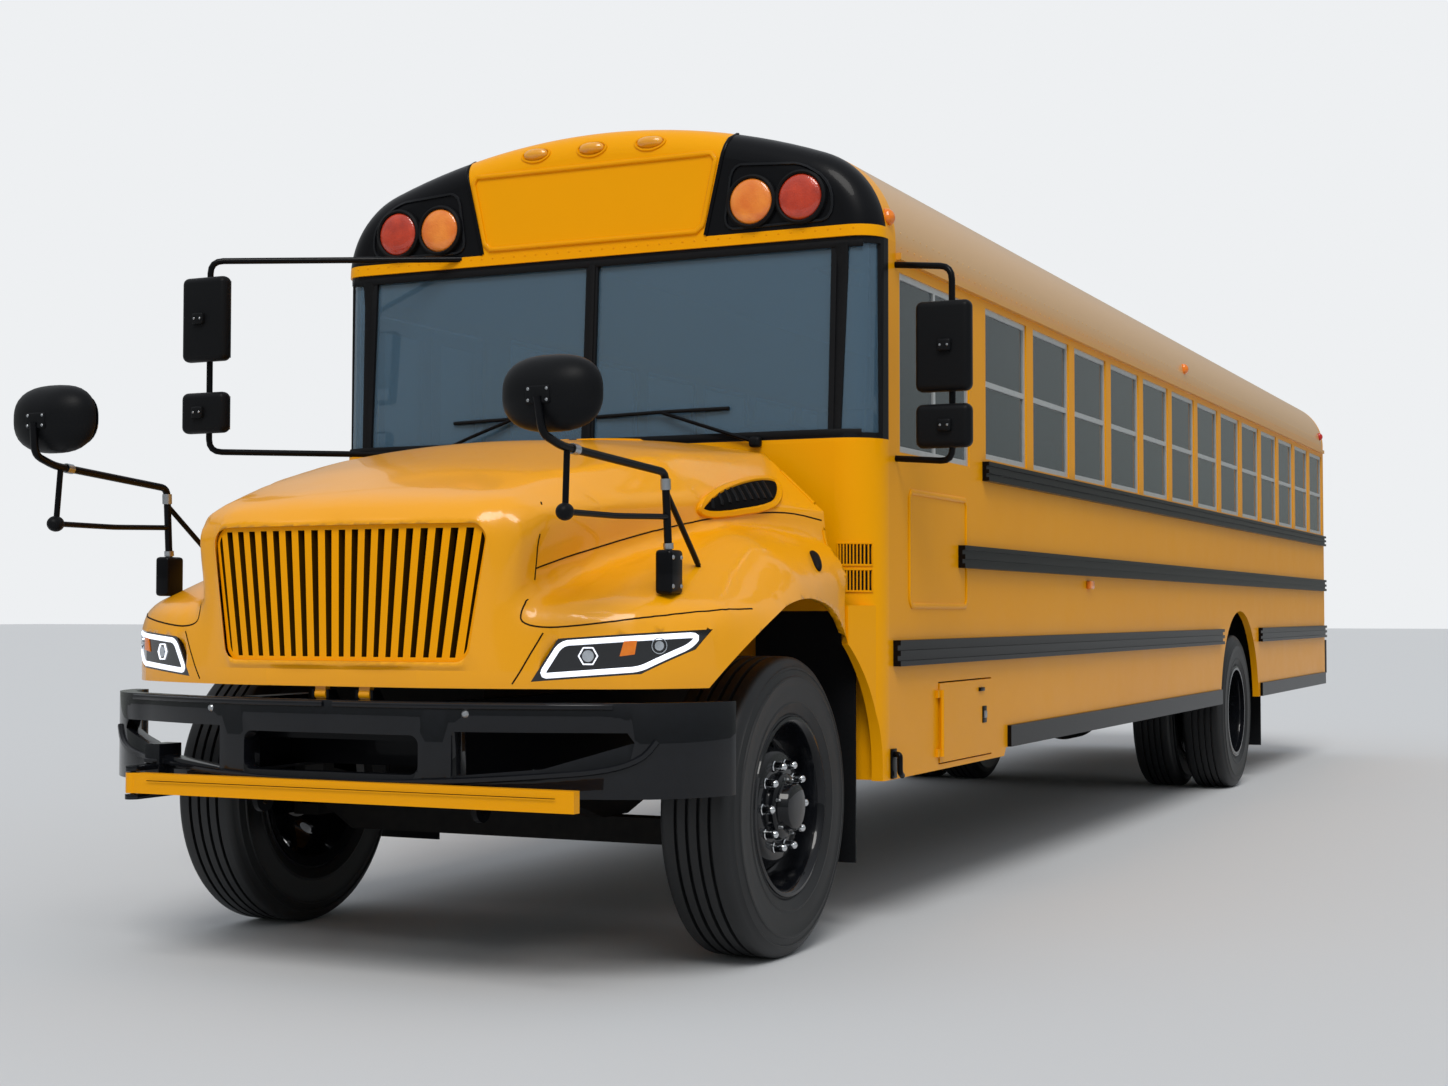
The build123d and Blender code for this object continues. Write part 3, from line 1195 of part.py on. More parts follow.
def bumper_plan(plane, inset):
    """Plan outline of the front bumper's outer face, moved in by inset and closed behind."""
    with BuildSketch(plane) as plan:
        with BuildLine():
            for side in SIDES:
                ThreePointArc(
                    (ahead(BUMPER_NOSE) - inset, 0),
                    (ahead(1078) - inset, side * 470),
                    (ahead(955) - inset, side * (865 - inset / 3)),
                )
                ThreePointArc(
                    (ahead(955) - inset, side * (865 - inset / 3)),
                    (ahead(845) - inset * 0.7, side * (1065 - inset * 0.7)),
                    (ahead(625), side * (1185 - inset)),
                )
                Line((ahead(625), side * (1185 - inset)), (ahead(625), 0))
        make_face()
    return plan.sketch


with BuildPart() as front_bumper:
    extrude(bumper_plan(Plane.XY.offset(BUMPER_LOW), 0), amount=BUMPER_TOP - BUMPER_LOW)
    extrude(
        bumper_plan(Plane.XY.offset(BUMPER_LOW), BUMPER_T),
        amount=BUMPER_TOP - BUMPER_LOW,
        mode=Mode.SUBTRACT,
    )
    with BuildSketch(Plane.YZ.offset(ahead(700))):
        with Locations((0, 726)):
            RectangleRounded(660, 122, 30)
        for side in SIDES:
            with BuildLine():
                Polyline(
                    (side * 440, 665),
                    (side * 720, 690),
                    (side * 980, 770),
                    (side * 960, 800),
                    (side * 440, 800),
                    close=True,
                )
            make_face()
    extrude(amount=500, mode=Mode.SUBTRACT)
    for side in SIDES:
        with Locations((ahead(RAIL_FRONT), side * (RAIL_Y - RAIL_FLANGE / 2), RAIL_TOP - RAIL_H / 2)):
            Box(56, RAIL_FLANGE, RAIL_H - 20, align=(Align.MIN, Align.CENTER, Align.CENTER))
    # Hinge bracket of the crossing arm, with its two ears and pin
    arm_x = ahead(ARM_PIVOT[0])
    for level in (1, -1):
        with Locations((arm_x, ARM_PIVOT[1], ARM_Z + level * (ARM_H / 2 + 5 + 8))):
            Cylinder(26, 16)
            Box(200, 52, 16, align=(Align.MAX, Align.CENTER, Align.CENTER))
    with Locations((arm_x, ARM_PIVOT[1], ARM_Z)):
        Cylinder(9, ARM_H + 20)
    with Locations((arm_x - 90, ARM_PIVOT[1], ARM_Z + 40)):
        Box(110, 60, 160, align=(Align.MAX, Align.CENTER, Align.CENTER))
front_bumper.part.label = "front_bumper"
export_step(front_bumper.part, "parts/front_bumper.step")

with BuildPart() as crossing_arm:
    with Locations((arm_x, ARM_PIVOT[1], ARM_Z)):
        Cylinder(24, ARM_H)
    with Locations((arm_x, ARM_PIVOT[1], ARM_Z)):
        Box(34, ARM_END - ARM_PIVOT[1], ARM_H, align=(Align.CENTER, Align.MIN, Align.CENTER))
    with Locations((arm_x, ARM_PIVOT[1], ARM_Z)):
        Cylinder(9 + FIT, ARM_H + 40, mode=Mode.SUBTRACT)
crossing_arm.part.label = "crossing_arm"
export_step(crossing_arm.part, "parts/crossing_arm.step")

REAR_BUMPER_LOW = 665.0
REAR_BUMPER_TOP = 940.0
with BuildPart() as rear_bumper:
    with Locations((ahead(-REAR_REACH), 0, (REAR_BUMPER_LOW + REAR_BUMPER_TOP) / 2)):
        Box(80, 2 * BODY_HALF, REAR_BUMPER_TOP - REAR_BUMPER_LOW, align=(Align.MIN, Align.CENTER, Align.CENTER))
    chamfer(rear_bumper.faces().sort_by(Axis.X)[0].edges().filter_by(Axis.Z), 30)
    for side in SIDES:
        with Locations((ahead(-REAR_REACH) + 80, side * (RAIL_Y - RAIL_FLANGE / 2), RAIL_TOP - RAIL_H / 2)):
            Box(
                RAIL_REAR + REAR_REACH - 80,
                RAIL_FLANGE,
                RAIL_H - 60,
                align=(Align.MIN, Align.CENTER, Align.CENTER),
            )
rear_bumper.part.label = "rear_bumper"
export_step(rear_bumper.part, "parts/rear_bumper.step")

# lamps
WARN_R = 88.0
WARN_OUT = 16.0
WARN_Z = 2713.0
WARN_AMBER_Y = 693.0
WARN_RED_Y = 894.0
# Small lamps by material. Columns: station, Y, Z, length along X, width, height
AMBER_MARKERS = (
    (CAP_FACE + 9, 0.0, 2990.0, 18.0, 110.0, 40.0),
    (CAP_FACE + 9, 255.0, 2985.0, 18.0, 110.0, 40.0),
    (CAP_FACE + 9, -255.0, 2985.0, 18.0, 110.0, 40.0),
)
with BuildPart() as lamps_amber:
    for side in SIDES:
        for plane_x, way in ((CAP_FACE, 1), (BODY_REAR, -1)):
            with BuildSketch(Plane.YZ.offset(ahead(plane_x))):
                with Locations((side * WARN_AMBER_Y, WARN_Z)):
                    Circle(WARN_R)
            extrude(amount=way * WARN_OUT)
        with Locations((ahead(-3555), side * (BODY_HALF + 12), 1302)):
            Box(70, 24, 40)
    for station, across, height, length, width, tall in AMBER_MARKERS:
        with Locations((ahead(station) - 10, across, height)):
            Box(length, width, tall)
    add(front_cap.part, mode=Mode.SUBTRACT)
lamps_amber.part.label = "lamps_amber"
export_step(lamps_amber.part, "parts/lamps_amber.step")

with BuildPart() as lamps_red:
    for side in SIDES:
        for plane_x, way in ((CAP_FACE, 1), (BODY_REAR, -1)):
            with BuildSketch(Plane.YZ.offset(ahead(plane_x))):
                with Locations((side * WARN_RED_Y, WARN_Z)):
                    Circle(WARN_R)
            extrude(amount=way * WARN_OUT)
        with BuildSketch(Plane.YZ.offset(ahead(BODY_REAR))):
            with Locations((side * 900, 1180)):
                Circle(WARN_R)
            with Locations((side * 680, 1180)):
                Circle(50)
        extrude(amount=-WARN_OUT)
lamps_red.part.label = "lamps_red"
export_step(lamps_red.part, "parts/lamps_red.step")

# mirrors and wipers
TUBE_R = 13.0
TUBE_BEND = 30.0


def tube(points, radius):
    """Tube through points, each corner taken by two mitres a little before and after it."""
    ends = [Vector(*point) for point in points]
    route = [ends[0]]
    for before, corner, after in zip(ends, ends[1:], ends[2:]):
        route.append(corner + (before - corner).normalized() * TUBE_BEND)
        route.append(corner + (after - corner).normalized() * TUBE_BEND)
    route.append(ends[-1])
    with BuildPart() as bent:
        with BuildLine() as line:
            Polyline(*route)
        with BuildSketch(Plane(origin=line.line @ 0, z_dir=line.line % 0)):
            Circle(radius)
        sweep(transition=Transition.RIGHT)
    return bent.part


def place(points, side):
    return [(ahead(station), side * across, height) for station, across, height in points]


MIRROR_OUT = 1520.0
# Crossover mirror on each fender: post foot, post head, reach and head
with BuildPart() as fender_mirrors:
    for side in SIDES:
        add(
            tube(
                place(
                    (
                        (690, 985, 1240),
                        (712, 982, 1600),
                        (1300, 945, 1640),
                        (1316, 930, 1760),
                    ),
                    side,
                ),
                TUBE_R,
            )
        )
        with BuildSketch(Plane.YZ.offset(ahead(1290))):
            with Locations((side * 926, 1790)):
                RectangleRounded(290, 216, 106)
        extrude(amount=110)
        with Locations((ahead(690), side * 985, 1290)):
            Box(90, 60, 140)
    add(outer_form, mode=Mode.SUBTRACT)
fender_mirrors.part.label = "fender_mirrors"
export_step(fender_mirrors.part, "parts/fender_mirrors.step")

# Flat and convex mirror on one frame on each side. Columns: height of centre, width, height
with BuildPart() as side_mirrors:
    left_frame = (
        (-800, BODY_HALF - 24, 2472),
        (-745, 1430, 2440),
        (-745, 1430, 1720),
        (-800, BODY_HALF - 24, 1742),
    )
    add(tube(place(left_frame, 1), TUBE_R))
    for height, width, tall in ((2140, 213, 335), (1847, 213, 162)):
        with BuildSketch(Plane.YZ.offset(ahead(-745 + 6))):
            with Locations((MIRROR_OUT - 107, height)):
                RectangleRounded(width, tall, 34)
        extrude(amount=64)
    right_frame = (
        (CAP_FACE - 24, 600, 2592),
        (-60, 1430, 2560),
        (-60, 1430, 1800),
        (-590, 854, 1806),
    )
    add(tube(place(right_frame, -1), TUBE_R))
    for height, width, tall in ((2320, 213, 335), (1950, 213, 162)):
        with BuildSketch(Plane.YZ.offset(ahead(-60 + 6))):
            with Locations((-(MIRROR_OUT - 107), height)):
                RectangleRounded(width, tall, 34)
        extrude(amount=64)
    add(front_cap.part, mode=Mode.SUBTRACT)
    add(front_cowl.part, mode=Mode.SUBTRACT)
    add(side_wall_left, mode=Mode.SUBTRACT)
side_mirrors.part.label = "side_mirrors"
export_step(side_mirrors.part, "parts/side_mirrors.step")

with BuildPart() as wipers:
    for pivot_y, tip_y in ((700.0, 60.0), (-620.0, -60.0)):
        with Locations((ahead(BODY_FRONT), pivot_y, 1800)):
            Box(36, 44, 36, align=(Align.MIN, Align.CENTER, Align.CENTER))
        middle = (pivot_y + tip_y) / 2
        with Locations((ahead(BODY_FRONT) + 20, middle, 1806)):
            Box(16, abs(pivot_y - tip_y), 14, align=(Align.MIN, Align.CENTER, Align.CENTER))
wipers.part.label = "wipers"
export_step(wipers.part, "parts/wipers.step")

# inside
SEAT_PITCH = 790.0
SEAT_ROWS = 11
SEAT_FIRST = -2650.0
SEAT_W = 930.0
SEAT_DEPTH = 400.0
SEAT_FACE_Z = FLOOR_TOP + 420.0
SEAT_BACK_Z = FLOOR_TOP + 980.0
SEAT_IN = 205.0
CUSHION_T = 110.0
BACK_T = 90.0
with BuildPart() as bench_seats:
    for side in SIDES:
        for row in range(SEAT_ROWS):
            front = ahead(SEAT_FIRST - row * SEAT_PITCH)
            with BuildSketch(Plane.XZ.offset(-side * SEAT_IN)):
                with BuildLine():
                    Polyline(
                        (front, SEAT_FACE_Z),
                        (front, SEAT_FACE_Z - CUSHION_T),
                        (front - SEAT_DEPTH - BACK_T, SEAT_FACE_Z - CUSHION_T),
                        (front - SEAT_DEPTH - BACK_T - 60, SEAT_BACK_Z),
                        (front - SEAT_DEPTH - 60, SEAT_BACK_Z),
                        (front - SEAT_DEPTH, SEAT_FACE_Z),
                        close=True,
                    )
                make_face()
            extrude(amount=-side * SEAT_W)
bench_seats.part.label = "bench_seats"
export_step(bench_seats.part, "parts/bench_seats.step")

# A leg on the aisle side of each bench and a rail on the wall for the outer side
SEAT_RAIL_H = 34.0
with BuildPart() as seat_frames:
    seat_low = SEAT_FACE_Z - CUSHION_T
    rail_length = (SEAT_ROWS - 1) * SEAT_PITCH + SEAT_DEPTH + BACK_T
    for side in SIDES:
        for row in range(SEAT_ROWS):
            middle = SEAT_FIRST - row * SEAT_PITCH - SEAT_DEPTH / 2
            with BuildSketch(Plane.XY.offset(FLOOR_TOP)):
                with Locations((ahead(middle), side * (SEAT_IN + 60))):
                    Rectangle(300, 30)
            extrude(amount=seat_low - FLOOR_TOP)
        rail_y = side * (BODY_HALF - WALL - SEAT_RAIL_H / 2)
        with Locations((ahead(SEAT_FIRST) - rail_length / 2, rail_y, seat_low - SEAT_RAIL_H / 2)):
            Box(rail_length, SEAT_RAIL_H, SEAT_RAIL_H)
seat_frames.part.label = "seat_frames"
export_step(seat_frames.part, "parts/seat_frames.step")

DRIVER_Y = 620.0
DRIVER_X = -1750.0
with BuildPart() as driver_seat:
    with BuildSketch(Plane.XZ.offset(-DRIVER_Y + 240)):
        with BuildLine():
            Polyline(
                (ahead(DRIVER_X) + 240, SEAT_FACE_Z + 60),
                (ahead(DRIVER_X) + 240, SEAT_FACE_Z - 60),
                (ahead(DRIVER_X) - 240, SEAT_FACE_Z - 60),
                (ahead(DRIVER_X) - 340, SEAT_BACK_Z + 60),
                (ahead(DRIVER_X) - 250, SEAT_BACK_Z + 60),
                (ahead(DRIVER_X) - 160, SEAT_FACE_Z + 60),
                close=True,
            )
        make_face()
    extrude(amount=-480)
    with BuildSketch(Plane.XY.offset(FLOOR_TOP)):
        with Locations((ahead(DRIVER_X), DRIVER_Y)):
            Rectangle(300, 260)
    extrude(amount=SEAT_FACE_Z - 60 - FLOOR_TOP)
driver_seat.part.label = "driver_seat"
export_step(driver_seat.part, "parts/driver_seat.step")

DASH_DEEP = 380.0
with BuildPart() as dashboard:
    dash_front = ahead(BODY_FRONT) - WALL
    with BuildSketch(Plane.XZ.offset(-1000)):
        with BuildLine():
            Polyline(
                (dash_front, 1240),
                (dash_front, 1760),
                (dash_front - 180, 1770),
                (dash_front - DASH_DEEP, 1660),
                (dash_front - DASH_DEEP, 1560),
                (dash_front - 160, 1240),
                close=True,
            )
        make_face()
    extrude(amount=1500)
    column = Plane(
        origin=(ahead(-900), DRIVER_Y, 1560), z_dir=(-0.64, 0, 0.77)
    )
    with BuildSketch(column):
        Circle(32)
    extrude(amount=240)
    with BuildSketch(column.offset(240)):
        Circle(235)
        Circle(212, mode=Mode.SUBTRACT)
        Rectangle(440, 34)
        Circle(60)
    extrude(amount=26)
dashboard.part.label = "dashboard"
export_step(dashboard.part, "parts/dashboard.step")

# below
# Columns: station of the front face, top, low edge, inner Y, outer Y
FLAPS = (
    (-604.0, SHELF_Z, 250.0, 700.0, 1100.0),
    (-8460.0, FLOOR_TOP - FLOOR_T, 220.0, 560.0, 1140.0),
)
with BuildPart() as mud_flaps:
    for side in SIDES:
        for station, top, low, inner, outer in FLAPS:
            with BuildSketch(Plane.YZ.offset(ahead(station))):
                with Locations((side * (inner + outer) / 2, (top + low) / 2)):
                    Rectangle(outer - inner, top - low)
            extrude(amount=-10)
mud_flaps.part.label = "mud_flaps"
export_step(mud_flaps.part, "parts/mud_flaps.step")

TANK_R = 250.0
with BuildPart() as fuel_tank:
    with Locations((ahead(-4300), -(RAIL_Y + 340), RAIL_TOP - 190)):
        Box(1400, 620, 330)
    fillet(fuel_tank.edges().filter_by(Axis.X), 60)
    with Locations((ahead(-4300), -(RAIL_Y + 20), RAIL_TOP - 120)):
        Box(900, 40, 160)
fuel_tank.part.label = "fuel_tank"
export_step(fuel_tank.part, "parts/fuel_tank.step")

with BuildPart() as exhaust:
    pipe_y = RAIL_Y + 150
    for radius, start, end in ((55, -1900, -3000), (125, -3000, -4200), (55, -4200, -6500)):
        with BuildSketch(Plane.YZ.offset(ahead(start))):
            with Locations((pipe_y, 700)):
                Circle(radius)
        extrude(amount=end - start)
    for station in (-2400, -5800):
        with Locations((ahead(station), RAIL_Y + 75, 760)):
            Box(30, 150, 60)
exhaust.part.label = "exhaust"
export_step(exhaust.part, "parts/exhaust.step")
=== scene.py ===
from math import cos, hypot, pi, radians, sin

import bmesh
import bpy
from mathutils import Matrix, Vector
from mathutils.bvhtree import BVHTree


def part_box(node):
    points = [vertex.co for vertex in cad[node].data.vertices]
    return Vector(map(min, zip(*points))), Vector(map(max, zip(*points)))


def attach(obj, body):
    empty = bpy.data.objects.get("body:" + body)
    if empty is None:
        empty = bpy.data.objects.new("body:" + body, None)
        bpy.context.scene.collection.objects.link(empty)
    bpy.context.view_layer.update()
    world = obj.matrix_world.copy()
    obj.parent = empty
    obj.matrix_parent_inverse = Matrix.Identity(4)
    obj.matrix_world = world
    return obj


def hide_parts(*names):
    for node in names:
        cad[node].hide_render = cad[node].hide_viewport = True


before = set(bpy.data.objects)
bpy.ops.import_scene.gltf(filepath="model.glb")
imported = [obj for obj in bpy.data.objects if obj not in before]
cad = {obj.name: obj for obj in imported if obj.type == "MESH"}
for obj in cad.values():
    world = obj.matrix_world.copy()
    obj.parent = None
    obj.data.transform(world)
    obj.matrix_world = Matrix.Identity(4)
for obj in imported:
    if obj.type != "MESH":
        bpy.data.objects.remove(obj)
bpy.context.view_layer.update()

# Camera, floor and light. The camera stands ahead of the bus on the driver's side at chest height,
# with a lens of about 50 mm. The floor is one pale sheet that runs to the horizon, and the light is
# an even pale sky with one wide, soft lamp high on the front left.
bpy.ops.object.camera_add(
    location=(11.269, 3.814, 1.162), rotation=(radians(91.98), radians(-0.02), radians(115.03))
)
camera = bpy.context.object
camera.data.lens = 50.41
camera.data.sensor_width = 36
camera.data.clip_end = 500
bpy.context.scene.camera = camera
bpy.context.scene.view_settings.view_transform = "Standard"


def linear(hex_colour):
    """Linear colour of an sRGB hex value such as F2A100."""
    channels = [int(hex_colour[at : at + 2], 16) / 255 for at in (0, 2, 4)]
    return (*[c / 12.92 if c <= 0.04045 else ((c + 0.055) / 1.055) ** 2.4 for c in channels], 1)


def add_node(tree, kind, values=None, links=None, **settings):
    """Adds one node with its settings, its socket values and the links that come into it."""
    made = tree.nodes.new(kind)
    for name, value in settings.items():
        setattr(made, name, value)
    for socket, value in (values or {}).items():
        made.inputs[socket].default_value = value
    for socket, source in (links or {}).items():
        tree.links.new(source, made.inputs[socket])
    return made


def new_material(name):
    """Empty material with its shader and output; returns the material, its tree and the shader."""
    made = bpy.data.materials.new(name)
    made.use_nodes = True
    tree = made.node_tree
    tree.nodes.clear()
    shader = add_node(tree, "ShaderNodeBsdfPrincipled")
    add_node(tree, "ShaderNodeOutputMaterial", links={"Surface": shader.outputs[0]})
    return made, tree, shader


def deselect():
    bpy.ops.object.select_all(action="DESELECT")


world = bpy.data.worlds.new("pale_sky")
bpy.context.scene.world = world
world.use_nodes = True
sky = world.node_tree
sky.nodes.clear()
sky_place = add_node(sky, "ShaderNodeTexCoord")
sky_split = add_node(sky, "ShaderNodeSeparateXYZ", links={0: sky_place.outputs["Generated"]})
sky_ramp = add_node(sky, "ShaderNodeValToRGB", links={0: sky_split.outputs["Z"]})
sky_ramp.color_ramp.elements[0].position = 0.0
sky_ramp.color_ramp.elements[0].color = linear("8F948F")
sky_ramp.color_ramp.elements[1].position = 0.6
sky_ramp.color_ramp.elements[1].color = linear("EEF2F8")
sky_light = add_node(
    sky, "ShaderNodeBackground", {"Strength": 0.74}, {"Color": sky_ramp.outputs[0]}
)
sky_seen = add_node(sky, "ShaderNodeBackground", {"Color": linear("EEF0F2"), "Strength": 1.0})
ray = add_node(sky, "ShaderNodeLightPath")
sky_mix = add_node(
    sky,
    "ShaderNodeMixShader",
    links={0: ray.outputs["Is Camera Ray"], 1: sky_light.outputs[0], 2: sky_seen.outputs[0]},
)
add_node(sky, "ShaderNodeOutputWorld", links={"Surface": sky_mix.outputs[0]})

bpy.ops.object.light_add(type="SUN", rotation=(radians(40), radians(-4), radians(118)))
lamp = bpy.context.object
lamp.data.energy = 1.7
lamp.data.angle = radians(26)
lamp.data.color = (1.0, 0.975, 0.94)

bpy.ops.mesh.primitive_grid_add(x_subdivisions=8, y_subdivisions=8, size=300, location=(0, 0, 0))
floor = bpy.context.object
floor.name = "stage_floor"
pale, tree, shader = new_material("pale_floor")
shader.inputs["Base Color"].default_value = linear("C9CBCD")
shader.inputs["Roughness"].default_value = 0.9
floor.data.materials.append(pale)

# Body sheet metal. Steel panels sprayed in school-bus yellow enamel: a smooth, weathered gloss with
# a fine orange peel, and a thin veil of road dust that thickens towards the sills. Its reflections
# are kept weak, because the long walls would otherwise turn pale with the sky.


def paint(finish, *nodes):
    """Gives the CAD nodes one finish."""
    for node in nodes:
        cad[node].data.materials.clear()
        cad[node].data.materials.append(finish)


def two_tones(name, first, second, scale, detail=2.0):
    """Material coloured by a noise between two close tones; with its nodes, for more work on it."""
    made, tree, shader = new_material(name)
    place = add_node(tree, "ShaderNodeTexCoord")
    noise = add_node(
        tree,
        "ShaderNodeTexNoise",
        {"Scale": scale, "Detail": detail},
        {"Vector": place.outputs["Object"]},
    )
    tones = add_node(
        tree,
        "ShaderNodeMix",
        {6: linear(first), 7: linear(second)},
        {0: noise.outputs[0]},
        data_type="RGBA",
    )
    tree.links.new(tones.outputs[2], shader.inputs["Base Color"])
    return made, tree, shader, place, noise, tones


def enamel_coat(name, first, second, dusty):
    """Enamel paint of two close tones, with dust towards the sills and a fine orange peel."""
    made, tree, shader, place, _, enamel = two_tones(name, first, second, 0.7, 3.0)
    height = add_node(tree, "ShaderNodeSeparateXYZ", links={0: place.outputs["Object"]})
    dust_height = add_node(
        tree,
        "ShaderNodeMapRange",
        {"From Min": 1.15, "From Max": 0.5, "To Min": 0.0, "To Max": dusty},
        {"Value": height.outputs["Z"]},
    )
    dust_speck = add_node(
        tree,
        "ShaderNodeTexNoise",
        {"Scale": 5.0, "Detail": 6.0, "Roughness": 0.6},
        {"Vector": place.outputs["Object"]},
    )
    dust = add_node(
        tree,
        "ShaderNodeMath",
        links={0: dust_height.outputs[0], 1: dust_speck.outputs[0]},
        operation="MULTIPLY",
    )
    coloured = add_node(
        tree,
        "ShaderNodeMix",
        {7: linear("B98A3C")},
        {0: dust.outputs[0], 6: enamel.outputs[2]},
        data_type="RGBA",
    )
    peel = add_node(
        tree,
        "ShaderNodeTexNoise",
        {"Scale": 160.0, "Detail": 2.0},
        {"Vector": place.outputs["Object"]},
    )
    bump = add_node(
        tree, "ShaderNodeBump", {"Strength": 0.06, "Distance": 0.002}, {"Height": peel.outputs[0]}
    )
    rough = add_node(
        tree,
        "ShaderNodeMapRange",
        {"To Min": 0.24, "To Max": 0.4},
        {"Value": dust_speck.outputs[0]},
    )
    tree.links.new(coloured.outputs[2], shader.inputs["Base Color"])
    tree.links.new(rough.outputs[0], shader.inputs["Roughness"])
    tree.links.new(bump.outputs[0], shader.inputs["Normal"])
    shader.inputs["Specular IOR Level"].default_value = 0.08
    shader.inputs["Coat Weight"].default_value = 0.08
    shader.inputs["Coat Roughness"].default_value = 0.06
    return made, tree, shader, place, coloured


yellow = enamel_coat("yellow_enamel", "EFA200", "E79900", 0.12)[0]
paint(
    yellow,
    "side_wall_left",
    "side_wall_right",
    "rear_wall",
    "hood",
    "grille",
    "rear_door",
    "battery_hatch",
    "crossing_arm",
)

# Plain finishes. Satin powder coat, wheel enamel, moulded rubber and grained plastic are all near
# black, each with its own sheen, the rubber dullest. Cast iron is dull and faintly brown, chrome
# bright, zinc greyer, the sashes pale aluminium, and the roof hatches have white moulded lids.


def plain_coat(name, first, second, rough, coat=0.0, metal=0.0, grain=40.0, bump=0.0):
    """Finish of two close tones in a fine noise, with an even roughness."""
    made, tree, shader, _, noise, _ = two_tones(name, first, second, grain, 4.0)
    if bump:
        relief = add_node(
            tree,
            "ShaderNodeBump",
            {"Strength": bump, "Distance": 0.002},
            {"Height": noise.outputs[0]},
        )
        tree.links.new(relief.outputs[0], shader.inputs["Normal"])
    shader.inputs["Roughness"].default_value = rough
    shader.inputs["Specular IOR Level"].default_value = 0.08
    shader.inputs["Coat Weight"].default_value = coat
    shader.inputs["Metallic"].default_value = metal
    return made


black_coat = plain_coat("black_powder_coat", "050609", "0B0C0F", 0.3, coat=0.08)
wheel_coat = plain_coat("black_wheel_enamel", "090A0D", "121419", 0.26, coat=0.5)
black_rubber = plain_coat("black_rubber", "101113", "191A1C", 0.55, grain=90.0)
black_plastic = plain_coat("grained_black_plastic", "0E0F11", "17181A", 0.4, grain=300.0, bump=0.2)
# A dead black sheet: painted shade, laid in the grille and the vents where the real part has only
# shade behind it.
painted_shade_black = plain_coat("painted_shade_sheet", "050506", "0A0A0B", 0.8)
cast_iron = plain_coat("cast_iron", "1B1B1C", "2A2826", 0.7, grain=25.0)
chrome = plain_coat("chromed_steel", "D9DBDD", "C9CCD0", 0.12, metal=1.0)
zinc = plain_coat("zinc_plated_steel", "B4B7BA", "9A9DA1", 0.34, metal=1.0)
sash_alloy = plain_coat("anodised_aluminium", "CDD0D0", "B9BCBD", 0.4, metal=0.6)
white_lid = plain_coat("white_moulded_plastic", "E4E5E2", "D8D9D6", 0.4)
paint(
    black_coat,
    "front_bumper",
    "rear_bumper",
    "rub_rails",
    "frame_rail_left",
    "frame_rail_right",
    "crossmembers",
    "entrance_leaf_front",
    "entrance_leaf_rear",
    "fuel_tank",
    "seat_frames",
)
paint(wheel_coat, "wheel_front_left", "wheel_front_right", "wheels_rear_left", "wheels_rear_right")
paint(black_rubber, "mud_flaps", "wipers")
paint(black_plastic, "side_mirrors", "fender_mirrors", "dashboard")
paint(
    cast_iron,
    "engine_block",
    "driveline",
    "front_axle",
    "rear_axle",
    "leaf_springs",
    "knuckle_left",
    "knuckle_right",
    "exhaust",
    "radiator",
)
paint(sash_alloy, "window_sashes")
paint(white_lid, "roof_hatch_front", "roof_hatch_rear")
floor_rubber = plain_coat("ribbed_rubber_floor", "1D1E1F", "2A2B2C", 0.6)
paint(floor_rubber, "floor", "wheelhouses", "step_well")

# Roof. The same enamel, painted paler towards its top edge as a painted reflection of the bright
# sky, with a white crown that keeps the cabin cool, masked along two straight lines.
CROWN_HALF = 0.955
roof_paint, tree, shader = new_material("roof_enamel_painted_sky_reflection")
place = add_node(tree, "ShaderNodeTexCoord")
split = add_node(tree, "ShaderNodeSeparateXYZ", links={0: place.outputs["Object"]})
across = add_node(tree, "ShaderNodeMath", links={0: split.outputs["Y"]}, operation="ABSOLUTE")
crown = add_node(
    tree, "ShaderNodeMath", {1: CROWN_HALF}, {0: across.outputs[0]}, operation="LESS_THAN"
)
# Painted reflection: between these heights the roof side turns paler, standing in for the bright
# sky it mirrors.
sky_reflection_rise = add_node(
    tree,
    "ShaderNodeMapRange",
    {"From Min": 2.50, "From Max": 2.60},
    {"Value": split.outputs["Z"]},
)
painted_sky_reflection = add_node(
    tree,
    "ShaderNodeMix",
    {6: linear("D9982C"), 7: linear("D2A468")},
    {0: sky_reflection_rise.outputs[0]},
    data_type="RGBA",
)
roof_colour = add_node(
    tree,
    "ShaderNodeMix",
    {7: linear("E4E6E8")},
    {0: crown.outputs[0], 6: painted_sky_reflection.outputs[2]},
    data_type="RGBA",
)
tree.links.new(roof_colour.outputs[2], shader.inputs["Base Color"])
shader.inputs["Roughness"].default_value = 0.35
shader.inputs["Coat Weight"].default_value = 0.4
paint(roof_paint, "roof")

# Window glass. Toughened sheet with a grey-green tint in the sides, and a laminated windscreen with
# a bluer one: smooth, slightly cloudy, and showing the sky more than the cabin behind.


def tinted_glass(name, first, second, cloud, clear, index):
    """Smooth glass of two close tints; clear is the share of the light that goes through."""
    made, tree, shader = two_tones(name, first, second, cloud)[:3]
    shader.inputs["Roughness"].default_value = 0.02
    shader.inputs["Transmission Weight"].default_value = clear
    shader.inputs["IOR"].default_value = index
    return made


paint(
    tinted_glass("tinted_sheet_glass", "52666F", "65777F", 0.8, 0.78, 1.7),
    "window_glass",
    "entrance_leaf_front_glass",
    "entrance_leaf_rear_glass",
    "rear_door_glass",
)
paint(tinted_glass("laminated_blue_glass", "6E93B0", "82A6BE", 0.6, 0.72, 1.6), "windscreen")

# Tyres. Radial tyres, carbon-black rubber: four circumferential grooves in the tread, a rounded
# shoulder, a bulged sidewall with moulded rings, and a bead that sits on the rim.


def settle(name, body, *finishes, smooth=38):
    """Names the active piece, settles its place into its mesh, paints it and sets it riding."""
    piece = bpy.context.object
    piece.name = name
    piece.data.name = name
    piece.select_set(True)
    bpy.ops.object.transform_apply(location=True, rotation=True, scale=True)
    piece.data.materials.clear()
    for finish in finishes:
        piece.data.materials.append(finish)
    if smooth:
        bpy.ops.object.shade_smooth_by_angle(angle=radians(smooth))
    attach(piece, body)
    return piece


